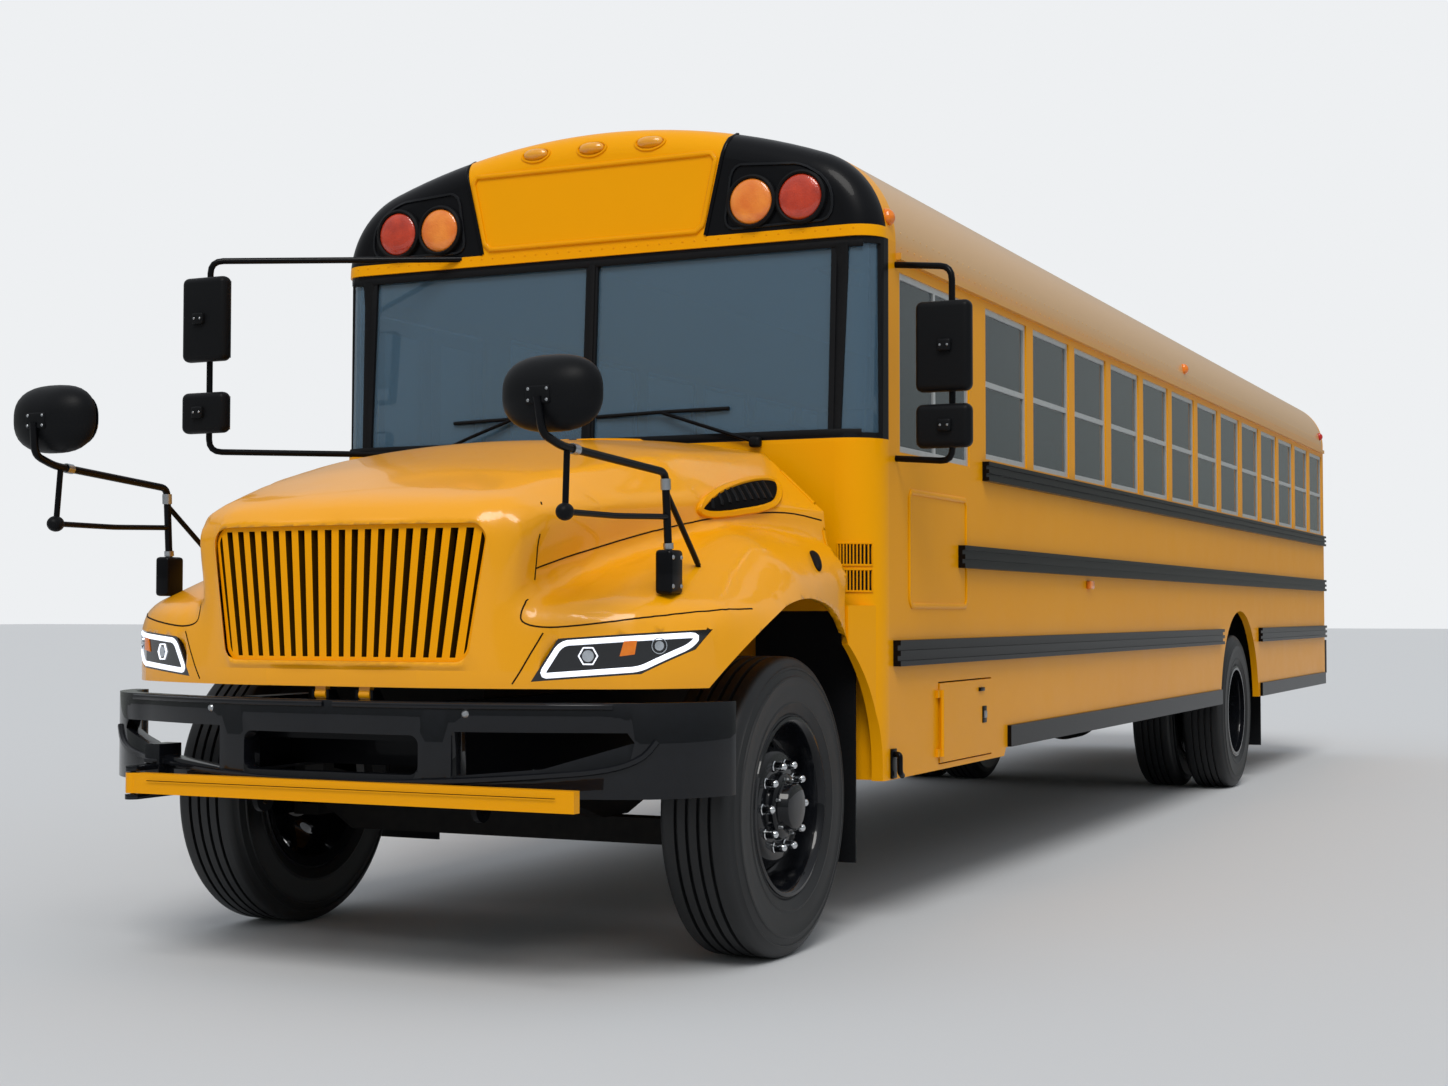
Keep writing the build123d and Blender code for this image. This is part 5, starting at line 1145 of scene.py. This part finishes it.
LAMP_EDGE = ((0.655, 0.952), (0.735, 1.084), (1.118, 1.112), (1.085, 1.050), (0.965, 0.976))
REFLECTOR_EDGE = ((-0.030, -0.022), (0.016, -0.016), (0.024, 0.028), (-0.016, 0.026))
for side, mark in SIDES:
    edge = placed([(1.2, y, z) for y, z in inset(LAMP_EDGE, 0.015)], side)
    edge = eased(dense(edge, 0.05, closed=True), closed=True)
    spots = faced(lamp_tree, dense(edge, 0.012, closed=True))
    bead("light_tube_" + mark, "hood", halo, spots, 0.017, 0.005, closed=True)
    for title, centre, radius, count, finish in (
        ("projector", PROJECTOR, 0.029, 6, halo),
        ("lamp", SECOND, 0.024, 24, bright),
    ):
        centre = placed([centre], side)[0]
        ring = ring_on(lamp_tree, centre, radius, count)
        spots = laid(lamp_tree, dense(ring, 0.012, closed=True))
        bead(title + "_ring_" + mark, "hood", finish, spots, 0.0045, 0.005, closed=True)
        inner = ring_on(lamp_tree, centre, radius * 0.62, 20)
        patch(title + "_lens_" + mark, "hood", bright, lamp_tree, inner, 0.004, rings=2)
    place, normal = lamp_tree.find_nearest(placed([REFLECTOR], side)[0])[:2]
    up = Vector((0, 0, 1))
    across = up.cross(normal).normalized() * side
    corners = dense([place + across * x + up * z for x, z in REFLECTOR_EDGE], 0.02, closed=True)
    patch("side_reflector_" + mark, "hood", amber_resin, lamp_tree, corners, 0.004, rings=2)

# Front bumper. Heavy pressed steel with rounded folds, in black enamel over plated bolts. A raised
# lip runs in one wide smile below the three openings, and the crossing arm in front has a groove of
# painted shade.
BUMPER_ROUND = 0.007
bumper = copy_of("front_bumper", "bumper_skin")
mesh = bmesh.new()
mesh.from_mesh(bumper.data)
bmesh.ops.remove_doubles(mesh, verts=mesh.verts, dist=DOUBLES)
bmesh.ops.dissolve_limit(mesh, angle_limit=radians(0.6), verts=mesh.verts[:], edges=mesh.edges[:])
mesh.to_mesh(bumper.data)
mesh.free()
round_edges(bumper, BUMPER_ROUND, 2, sharper=42)
bumper = settle("bumper_skin", "bus", wheel_coat, smooth=35)
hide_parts("front_bumper")
bumper_tree = tree_of(bumper)
SMILE = (
    (1.3, 1.035, 0.775),
    (1.3, 1.000, 0.720),
    (1.3, 0.900, 0.684),
    (1.3, 0.700, 0.668),
    (1.3, 0.450, 0.650),
    (1.3, 0.200, 0.640),
    (1.3, 0.000, 0.638),
)
smile = placed(SMILE) + placed(SMILE[:-1], -1)[::-1]
spots = [spot for spot in faced(bumper_tree, dense(eased(smile), 0.02)) if spot[1].x > 0.3]
bead("bumper_smile", "bus", wheel_coat, spots, 0.020, 0.012)
for side, mark in SIDES:
    top = placed([(1.3, 0.02 + 0.05 * number, 0.878) for number in range(19)], side)
    spots = [spot for spot in faced(bumper_tree, top) if spot[1].x > 0.3]
    bead("bumper_top_fold_" + mark, "bus", wheel_coat, spots, 0.018, 0.007)
bolts = placed([(1.075, -0.484, 0.855), (1.075, 0.484, 0.855)])
studded("bumper_bolts", "bus", zinc, laid(bumper_tree, bolts), 0.013)
arm_low, arm_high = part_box("crossing_arm")
arm_mid = (arm_low + arm_high) / 2
# A thin dark strip on the crossing arm: painted shade standing for its groove.
block(
    "arm_groove_shade",
    "crossing_arm",
    painted_seam_and_groove_shade,
    (0.002, arm_high.y - arm_low.y - 0.16, 0.0022),
    (arm_high.x + 0.0002, arm_mid.y + 0.02, arm_mid.z + 0.010),
)

# Crossover mirrors. An oval convex glass, silvered so that it shows the sky, in a black moulded
# shell on each fender, held by a bent tube from a cast foot, with a stay, a brace and collars.


def shell(name, body, finish, size, centre, blunt=2.6, back=0.3, turn=(0, 0, 0)):
    """Oval moulded shell: round in front, flatter behind; size is (depth, width, height)."""
    bpy.ops.mesh.primitive_uv_sphere_add(
        segments=40, ring_count=24, radius=1, rotation=(0, pi / 2, 0)
    )
    piece = bpy.context.object
    deselect()
    piece.select_set(True)
    bpy.ops.object.transform_apply(rotation=True)
    for vertex in piece.data.vertices:
        x, y, z = vertex.co
        reach = (abs(y) ** blunt + abs(z) ** blunt) ** (1 / blunt)
        ratio = hypot(y, z) / reach if reach > 0.0001 else 1.0
        depth = x * (back if x < 0 else 1.0)
        vertex.co = (depth * size[0], y * ratio * size[1] / 2, z * ratio * size[2] / 2)
    piece.rotation_euler = turn
    piece.location = centre
    return settle(name, body, finish, smooth=60)


def facing(normal):
    """Turn that points a piece's own X along the normal."""
    return Vector((1, 0, 0)).rotation_difference(normal).to_euler()


mirror_glass = plain_coat("silvered_mirror_glass", "C2CAD0", "B4BDC4", 0.03, metal=1.0)
TUBE_R = 0.0125
CROSSOVER_TUBE = (
    (0.690, 0.985, 1.300),
    (0.712, 0.982, 1.600),
    (1.300, 0.945, 1.640),
    (1.395, 0.938, 1.668),
    (1.412, 0.930, 1.772),
)
CROSSOVER_RODS = (
    ("drop", 0.0100, ((1.270, 0.947, 1.636), (1.285, 0.950, 1.452))),
    ("stay", 0.0095, ((1.285, 0.950, 1.452), (1.000, 0.962, 1.452), (0.703, 0.984, 1.462))),
    ("brace", 0.0095, ((0.708, 0.983, 1.540), (0.450, 0.962, 1.335), (0.430, 0.960, 1.318))),
)
COLLARS = (
    ((1.2150, 0.9503, 1.6342), (1.2450, 0.9485, 1.6363)),
    ((0.7086, 0.9825, 1.5450), (0.7105, 0.9822, 1.5800)),
    ((0.6930, 0.9845, 1.3620), (0.6950, 0.9843, 1.3800)),
)
COLLAR_R = 0.0165
for side, mark in SIDES:
    base, bracket, head, knob, glass, brace, front = placed(
        [
            (0.690, 0.985, 1.290),
            (1.402, 0.928, 1.778),
            (1.312, 0.926, 1.790),
            (1.287, 0.950, 1.452),
            (1.281, 0.926, 1.790),
            (0.428, 0.962, 1.300),
            (1.410, 0.928, 1.778),
        ],
        side,
    )
    foot = "crossover_foot_" + mark
    pieces = [block(foot, "hood", black_coat, (0.088, 0.058, 0.138), base, 0.012, 3)]
    route = placed(CROSSOVER_TUBE, side)
    pieces.append(pipe("crossover_tube_" + mark, "hood", black_coat, route, TUBE_R))
    arm = "crossover_bracket_" + mark
    pieces.append(block(arm, "hood", black_plastic, (0.016, 0.078, 0.052), bracket, 0.006, 3))
    oval = "crossover_shell_" + mark
    pieces.append(shell(oval, "hood", black_plastic, (0.095, 0.322, 0.222), head))
    for title, radius, route in CROSSOVER_RODS:
        rod = "crossover_%s_%s" % (title, mark)
        pieces.append(pipe(rod, "hood", black_coat, placed(route, side), radius))
    ball = "crossover_knob_" + mark
    size = (0.030, 0.052, 0.052)
    pieces.append(shell(ball, "hood", black_plastic, size, knob, blunt=2.0, back=1.0))
    for piece in pieces:
        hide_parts("fender_mirrors")
    shell("crossover_glass_" + mark, "hood", mirror_glass, (0.004, 0.290, 0.192), glass, back=6.0)
    for number, route in enumerate(COLLARS):
        collar = "crossover_collar_%d_%s" % (number, mark)
        pipe(collar, "hood", zinc, placed(route, side), COLLAR_R)
    place, normal = skin_tree.find_nearest(brace)[:2]
    foot, size = "brace_foot_" + mark, (0.016, 0.075, 0.042)
    shell(foot, "hood", black_plastic, size, place, blunt=2.0, turn=facing(normal))
    spots = [
        (front + Vector((0, y, z)), Vector((1, 0, 0)))
        for y in (-0.030, 0.030)
        for z in (-0.016, 0.016)
    ]
    studded("crossover_screws_" + mark, "hood", zinc, spots, 0.005)
    outer = base + Vector((0, side * 0.029, 0))
    spots = [
        (outer + Vector((x, 0, z)), Vector((0, side, 0)))
        for x, z in ((-0.028, 0.045), (0.028, 0.045), (-0.028, -0.045), (0.028, -0.045))
    ]
    studded("crossover_foot_bolts_" + mark, "hood", zinc, spots, 0.008)

# Side mirrors. A tall flat glass over a short wide-angle one on each side, in black moulded shells
# clamped to one bent tube.
HEADS = (("flat", 0.335, 2.140, 2.320), ("wide", 0.162, 1.847, 1.950))
LEFT_TUBE = (
    (-0.800, 1.178, 2.472),
    (-0.745, 1.430, 2.440),
    (-0.745, 1.430, 1.720),
    (-0.800, 1.178, 1.742),
)
RIGHT_TUBE = (
    (-0.600, 0.600, 2.592),
    (-0.060, 1.430, 2.560),
    (-0.060, 1.430, 1.800),
    (-0.570, 0.868, 1.806),
)
for side, mark, route in ((1, "left", LEFT_TUBE), (-1, "right", RIGHT_TUBE)):
    tube = "side_mirror_tube_" + mark
    tube_piece = pipe(tube, "bus", black_coat, placed(route, side), TUBE_R, bend=0.05)
    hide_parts("side_mirrors")
    for title, tall, left_z, right_z in HEADS:
        name = "_%s_%s" % (title, mark)
        height = left_z if side > 0 else right_z
        centre = placed([(route[1][0] + 0.040, 1.413, height)], side)[0]
        size = (0.062, 0.213, tall)
        head = block("side_mirror" + name, "bus", black_plastic, size, centre, 0.026, 5)
        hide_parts("side_mirrors")
        size = (0.003, 0.186, tall - 0.030)
        glass = centre - Vector((0.0315, 0, 0))
        block("side_mirror_glass" + name, "bus", mirror_glass, size, glass, 0.001)
        size = (0.030, 0.052, 0.046)
        clamp = centre + Vector((0.034, side * 0.012, 0))
        block("side_mirror_clamp" + name, "bus", black_plastic, size, clamp, 0.008, 3)
        front = clamp + Vector((0.015, 0, 0))
        spots = [(front + Vector((0, y, 0)), Vector((1, 0, 0))) for y in (-0.014, 0.014)]
        studded("side_mirror_screws" + name, "bus", zinc, spots, 0.005)

# Windscreen. Two flat panes and two corner panes set in black rubber, a grey centre post, and two
# black wipers that park low across the glass.
screen_tree = tree_of(cad["windscreen"], cad["front_cowl"])
post = placed([(-0.40, 0, z) for z in (1.835, 2.0, 2.2, 2.4, 2.525)])
bead("centre_post", "bus", black_rubber, faced(screen_tree, dense(post, 0.1)), 0.030, 0.008)
for side, mark in SIDES:
    upright = dense(placed([(-0.40, 1.033, 1.835), (-0.40, 1.052, 2.530)], side), 0.1)
    spots = faced(screen_tree, upright)
    bead("corner_post_" + mark, "bus", black_rubber, spots, 0.050, 0.008)
    for title, level in (("sill", 1.826), ("head", 2.530)):
        edge = placed([(-0.40, 1.13 * at / 14, level) for at in range(15)], side)
        name = "screen_%s_%s" % (title, mark)
        bead(name, "bus", black_rubber, faced(screen_tree, edge), 0.026, 0.006)
WIPERS = (("driver", 0.726, 0.320), ("kerb", -0.690, -0.330))
BLADE_HALF = 0.285
for mark, pivot, middle in WIPERS:
    start, hold = placed([(-0.545, pivot, 1.800), (-0.562, middle, 1.930)])
    elbow = start.lerp(hold, 0.5) + Vector((0.012, 0, 0))
    arm = pipe("wiper_arm_" + mark, "bus", black_coat, [start, elbow, hold], 0.007, sides=2)
    first = hold + Vector((-0.012, -BLADE_HALF, -0.006))
    last = hold + Vector((-0.012, BLADE_HALF, 0.004))
    name = "wiper_blade_" + mark
    blade = pipe(name, "bus", black_rubber, [first, hold, last], 0.0075, sides=2)
    name, size = "wiper_hub_" + mark, (0.036, 0.046, 0.040)
    hub_cap = block(name, "bus", black_plastic, size, start, 0.012, 3)
    for piece in (arm, blade, hub_cap):
        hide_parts("wipers")

# Front cap. A blank sign field in a raised frame above the windscreen, a row of rivets below it,
# black edges beside it, and rubber rings for the amber and red warning lamps, also at the rear.
cap_tree = tree_of(cad["front_cap"])
SIGN = ((-0.480, 2.618), (0.480, 2.618), (0.545, 2.915), (-0.545, 2.915))
WARNINGS = (("amber", 0.693), ("red", 0.894))
WARNING_Z = 2.713
WARNING_RING = ((0.086, -0.030), (0.088, 0.020), (0.094, 0.024), (0.102, 0.018), (0.104, -0.030))
sign = eased(dense([Vector((0, y, z)) for y, z in SIGN], 0.09, closed=True), 1, closed=True)
sign = placed([(-0.30, point.y, point.z) for point in sign])
spots = faced(cap_tree, dense(sign, 0.03, closed=True))
bead("sign_frame", "bus", yellow, spots, 0.020, 0.009, closed=True)
row = placed([(-0.30, -1.10 + 0.05 * number, 2.585) for number in range(45)])
studded("cap_rivets", "bus", yellow, faced(cap_tree, row), 0.0055)
for side, mark in SIDES:
    edge = dense(placed([(-0.30, 0.497, 2.602), (-0.30, 0.590, 3.000)], side), 0.03)
    bead("corner_field_edge_" + mark, "bus", black_coat, faced(cap_tree, edge), 0.016, 0.006)
    for title, across in WARNINGS:
        for station, way, end in ((-0.592, 1, "front"), (-11.155, -1, "rear")):
            turned(
                "warning_ring_%s_%s_%s" % (title, end, mark),
                "bus",
                black_rubber,
                [(reach, along * way) for reach, along in WARNING_RING],
                placed([(station, across, WARNING_Z)], side)[0],
                steps=48,
                axis=(1, 0, 0),
            )

# Roof and side fittings. Rows of rivets along the roof's lower edge, small moulded marker lamps
# at its corners and sides, a rubber latch on each fender, and the slatted vents of the cowl, each
# over a black sheet of painted shade.
side_tree = tree_of(cad["side_wall_left"], cad["side_wall_right"], cad["roof"])
ROOF_MARKERS = (
    ("corner", -0.735, 2.640, cap_tree, amber_resin),
    ("roof_side", -5.800, 2.625, side_tree, amber_resin),
    ("rear_corner", -10.960, 2.625, side_tree, red_resin),
)
for side, mark in SIDES:
    spots = []
    for level in (2.545, 2.600):
        row = placed([(-0.86 - 0.075 * number, 2, level) for number in range(136)], side)
        spots += faced(side_tree, row, way=(0, -side, 0))
    studded("roof_rivets_" + mark, "bus", roof_paint, spots, 0.0055)
    for title, station, height, tree, finish in ROOF_MARKERS:
        aim = placed([(station, 1.9, height)], side)
        place, normal = faced(tree, aim, way=(0, -side, 0))[0]
        name, size = title + "_marker_" + mark, (0.030, 0.056, 0.062)
        shell(name, "bus", finish, size, place, blunt=2.8, turn=facing(normal))
    place, normal = skin_tree.find_nearest(placed([(-0.225, 1.100, 1.345)], side)[0])[:2]
    name, size = "hood_latch_" + mark, (0.022, 0.034, 0.115)
    shell(name, "hood", black_rubber, size, place, blunt=3.0, turn=facing(normal))
cowl_tree = tree_of(cad["front_cowl"])
VENT_IN, VENT_OUT = 1.050, 1.160
VENT_HALVES = ((1.242, 1.322), (1.338, 1.418))
for side, mark in SIDES:
    for half, (low, high) in enumerate(VENT_HALVES):
        corners = ((VENT_IN, low), (VENT_OUT, low), (VENT_OUT, high), (VENT_IN, high))
        edge = dense(placed([(-0.30, y, z) for y, z in corners], side), 0.02, closed=True)
        spots = faced(cowl_tree, edge)
        name = "%d_%s" % (half, mark)
        outline = [spot[0] for spot in spots]
        # Black sheet of painted shade inside each vent, under its frame and slats.
        patch("cowl_vent_" + name, "bus", painted_shade_black, cowl_tree, outline, 0.001)
        bead("cowl_vent_frame_" + name, "bus", yellow, spots, 0.008, 0.006, closed=True)
        for slat in range(9):
            across = VENT_IN + 0.110 * (slat + 0.9) / 9.8
            line = placed([(-0.30, across, z) for z in (low, (low + high) / 2, high)], side)
            spots = faced(cowl_tree, line)
            if len(spots) > 1:
                name = "cowl_vent_slat_%d_%d_%s" % (half, slat, mark)
                bead(name, "bus", yellow, spots, 0.0065, 0.005)

# Lamp lenses. Domed lenses of moulded plastic with a fine dotted prism pattern: amber and red
# pairs in a framed field on the cap and at the rear, tail and stop lamps, an amber marker on each
# side, and three yellow markers over the sign.
RING_PITCH = 0.007


def lens(name, deep, glow):
    """Coloured lens, mottled between a deep and a paler tone, with a dotted prism pattern."""
    made, tree, shader, place = two_tones(name, deep, glow, 14.0)[:4]
    cells = add_node(
        tree,
        "ShaderNodeTexVoronoi",
        {"Scale": 1 / RING_PITCH},
        {"Vector": place.outputs["Object"]},
    )
    dotted = add_node(
        tree,
        "ShaderNodeBump",
        {"Strength": 0.35, "Distance": 0.002},
        {"Height": cells.outputs["Distance"]},
    )
    tree.links.new(dotted.outputs[0], shader.inputs["Normal"])
    shader.inputs["Roughness"].default_value = 0.2
    shader.inputs["Coat Weight"].default_value = 0.6
    return made


amber_lens = lens("amber_prism_lens", "D45606", "FFA23C")
red_lens = lens("red_prism_lens", "86160A", "E04A26")
yellow_lens = lens("yellow_prism_lens", "D98A08", "F4AE1E")
LENS_R = 0.0875
LENS_DOME = (
    (LENS_R, -0.004),
    (LENS_R, 0.014),
    (0.080, 0.020),
    (0.060, 0.0245),
    (0.030, 0.027),
    (0.0, 0.0275),
)


def lens_disc(name, finish, radius, centre, way):
    """Round domed lens facing along X."""
    share = radius / LENS_R
    profile = [(reach * share, along * share * way) for reach, along in LENS_DOME]
    return turned(name, "bus", finish, profile, centre, steps=40, axis=(1, 0, 0), smooth=60)


wall_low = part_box("rear_wall")[0]
REAR_FACE = wall_low.x - AXLE + 0.027
TAIL_Z = 1.180
LAMP_FIELD = ((0.575, 2.616), (1.020, 2.622), (1.015, 2.760), (0.900, 2.842), (0.610, 2.862))
for side, mark in SIDES:
    for station, way, end in ((-0.592, 1, "front"), (REAR_FACE, -1, "rear")):
        for (title, across), finish in zip(WARNINGS, (amber_lens, red_lens)):
            centre = placed([(station, across, WARNING_Z)], side)[0]
            name = "warning_%s_%s_%s" % (title, end, mark)
            piece = lens_disc(name, finish, LENS_R, centre, way)
            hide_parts("lamps_" + title)
    for title, across, radius in (("tail", 0.900, LENS_R), ("stop", 0.680, 0.050)):
        centre = placed([(REAR_FACE, across, TAIL_Z)], side)[0]
        piece = lens_disc("%s_lamp_%s" % (title, mark), red_lens, radius, centre, -1)
        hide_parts("lamps_red")
        ring = ((-0.001, 0.004), (0.0, -0.018), (0.010, -0.020), (0.018, 0.004))
        turned(
            "%s_lamp_ring_%s" % (title, mark),
            "bus",
            black_rubber,
            [(radius + reach, along) for reach, along in ring],
            centre,
            steps=40,
            axis=(1, 0, 0),
        )
    name, size = "side_marker_" + mark, (0.070, 0.024, 0.040)
    centre = placed([(-3.555, 1.202, 1.302)], side)[0]
    piece = block(name, "bus", amber_lens, size, centre, 0.006, 3)
    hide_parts("lamps_amber")
    field = placed([(-0.30, y, z) for y, z in LAMP_FIELD], side)
    spots = faced(cap_tree, eased(dense(field, 0.10, closed=True), closed=True))
    bead("lamp_field_edge_" + mark, "bus", wheel_coat, spots, 0.014, 0.007, closed=True)
for number, across in enumerate((-0.255, 0.0, 0.255)):
    place, normal = faced(cap_tree, placed([(-0.30, across, 2.985)]))[0]
    name, size = "marker_lamp_%d" % number, (0.024, 0.110, 0.046)
    piece = shell(name, "bus", yellow_lens, size, place, blunt=2.4, turn=facing(normal))
    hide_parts("lamps_amber")
    turns = [2 * pi * at / 24 for at in range(24)]
    ring = [place + Vector((0, 0.064 * cos(turn), 0.032 * sin(turn))) for turn in turns]
    spots = laid(cap_tree, ring)
    bead("marker_lamp_ring_%d" % number, "bus", yellow, spots, 0.010, 0.006, closed=True)

# Side wall fittings. On the driver's side a pressed panel below the window, and the battery hatch's
# plate, plated paddle and pull; on both sides the steel hook that holds the hood shut.
left_tree = tree_of(cad["side_wall_left"])
PANEL = ((-0.945, 1.190), (-1.630, 1.190), (-1.630, 1.625), (-0.945, 1.625))
panel = dense(placed([(x, 1.8, z) for x, z in PANEL]), 0.08, closed=True)
panel = dense(eased(panel, 1, closed=True), 0.05, closed=True)
spots = faced(left_tree, panel, way=(0, -1, 0))
bead("pressed_panel", "bus", yellow, spots, 0.022, 0.006, closed=True)
hatch_low, hatch_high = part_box("battery_hatch")
latch_x, latch_z = hatch_low.x + 0.105, (hatch_low.z + hatch_high.z) / 2 + 0.010
for title, finish, size, centre, bevel in (
    ("latch_plate", black_coat, (0.052, 0.006, 0.070), (latch_x, 1.195, latch_z), 0.002),
    ("latch_paddle", zinc, (0.030, 0.010, 0.030), (latch_x, 1.199, latch_z), 0.003),
    (
        "pull",
        black_coat,
        (0.060, 0.014, 0.016),
        (hatch_low.x + 0.150, 1.197, hatch_high.z - 0.040),
        0.003,
    ),
):
    block("hatch_" + title, "battery_hatch", finish, size, centre, bevel)
HOOK = (
    (-0.748, 1.196, 0.640),
    (-0.735, 1.226, 0.640),
    (-0.735, 1.226, 0.575),
    (-0.770, 1.222, 0.560),
)
for side, mark in SIDES:
    pipe("hood_hook_" + mark, "bus", black_coat, placed(HOOK, side), 0.011, bend=0.012)
    plate, flap_bolt = placed([(-0.752, 1.195, 0.605), (-0.598, 1.000, 0.520)], side)
    block("hood_hook_plate_" + mark, "bus", black_coat, (0.050, 0.010, 0.110), plate, 0.003)
    studded("flap_bolts_" + mark, "bus", zinc, [(flap_bolt, Vector((1, 0, 0)))], 0.010)

# Seats. Benches for three with a high padded back, in blue-grey vinyl over foam: a welt round the
# edge and a slight sag in the middle of cushion and back.
vinyl, tree, shader, place = two_tones("blue_grey_seat_vinyl", "1B2A38", "26394A", 3.0, 5.0)[:4]
grain = add_node(
    tree, "ShaderNodeTexVoronoi", {"Scale": 420.0}, {"Vector": place.outputs["Object"]}
)
pores = add_node(
    tree,
    "ShaderNodeBump",
    {"Strength": 0.25, "Distance": 0.001},
    {"Height": grain.outputs["Distance"]},
)
tree.links.new(pores.outputs[0], shader.inputs["Normal"])
shader.inputs["Roughness"].default_value = 0.5


def cushion(size, puff):
    """Active padded block with rounded edges, its faces swollen towards their middles."""
    piece = plain_box(size)
    round_edges(piece, min(size) * 0.32, 4)
    bpy.ops.object.mode_set(mode="EDIT")
    bpy.ops.mesh.select_all(action="SELECT")
    bpy.ops.mesh.subdivide(number_cuts=3)
    bpy.ops.object.mode_set(mode="OBJECT")
    for vertex in piece.data.vertices:
        share = [2 * vertex.co[axis] / size[axis] for axis in range(3)]
        for axis in range(3):
            others = [1 - share[other] ** 2 for other in range(3) if other != axis]
            vertex.co[axis] += puff * share[axis] * others[0] * others[1]
    return piece


bench_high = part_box("bench_seats")[1]
SEAT_Z = 1.440
PITCH = 0.790
ROWS = 11
BENCH_W = 0.915
for title, size, centre, lean in (
    ("cushions", (0.470, BENCH_W, 0.100), (-0.235, 0.670, SEAT_Z - 0.052), 0.0),
    ("backs", (0.100, BENCH_W, 0.560), (-0.500, 0.670, SEAT_Z + 0.270), radians(-5.5)),
):
    padding = cushion(size, -0.006 if title == "cushions" else 0.004)
    places = []
    for row in range(ROWS):
        for side in (1, -1):
            front = bench_high.x - row * PITCH
            spot = Matrix.Translation((front + centre[0], side * centre[1], centre[2]))
            places.append(spot @ Matrix.Rotation(lean, 4, "Y"))
    seats = copies("bench_" + title, "bus", vinyl, padding, places, smooth=50)
    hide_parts("bench_seats")
paint(vinyl, "driver_seat")

# Rear and entrance fittings. A plated lever handle on its plate on the emergency door, bolts on the
# rear bumper, and on each entrance leaf a rubber seal at its free edge and two sash bars.
door_low, door_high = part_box("rear_door")
handle_y = door_high.y - 0.075
handle_z = 1.150
lever = [
    Vector((door_low.x + reach, across, handle_z))
    for reach, across in ((0.004, handle_y), (-0.035, handle_y), (-0.035, handle_y - 0.140))
]
pipe("rear_door_handle", "rear_door", zinc, lever, 0.010, bend=0.012)
plate = (door_low.x - 0.002, handle_y, handle_z)
block("rear_door_handle_plate", "rear_door", zinc, (0.006, 0.060, 0.110), plate, 0.002)
bolts = [Vector((door_low.x - 0.4, across, 0.800)) for across in (-1.0, -0.42, 0.42, 1.0)]
spots = faced(tree_of(cad["rear_bumper"]), bolts, way=(1, 0, 0))
studded("rear_bumper_bolts", "bus", zinc, spots, 0.014)
fore_low, fore_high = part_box("entrance_leaf_front")
hind_low, hind_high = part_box("entrance_leaf_rear")
for title, edge_x, sash_x in (
    ("front", fore_low.x + 0.022, fore_low.x + 0.209),
    ("rear", hind_high.x - 0.022, hind_low.x + 0.213),
):
    leaf = "entrance_leaf_" + title
    size = (0.018, 0.010, fore_high.z - fore_low.z - 0.04)
    centre = (edge_x, -1.197, (fore_high.z + fore_low.z) / 2)
    block("entrance_seal_" + title, leaf, black_rubber, size, centre, 0.004)
    for level in (1.46, 1.56):
        name = "entrance_sash_bar_%s_%d" % (title, round(level * 100))
        block(name, leaf, black_rubber, (0.30, 0.006, 0.014), (sash_x, -1.194, level), 0.002)
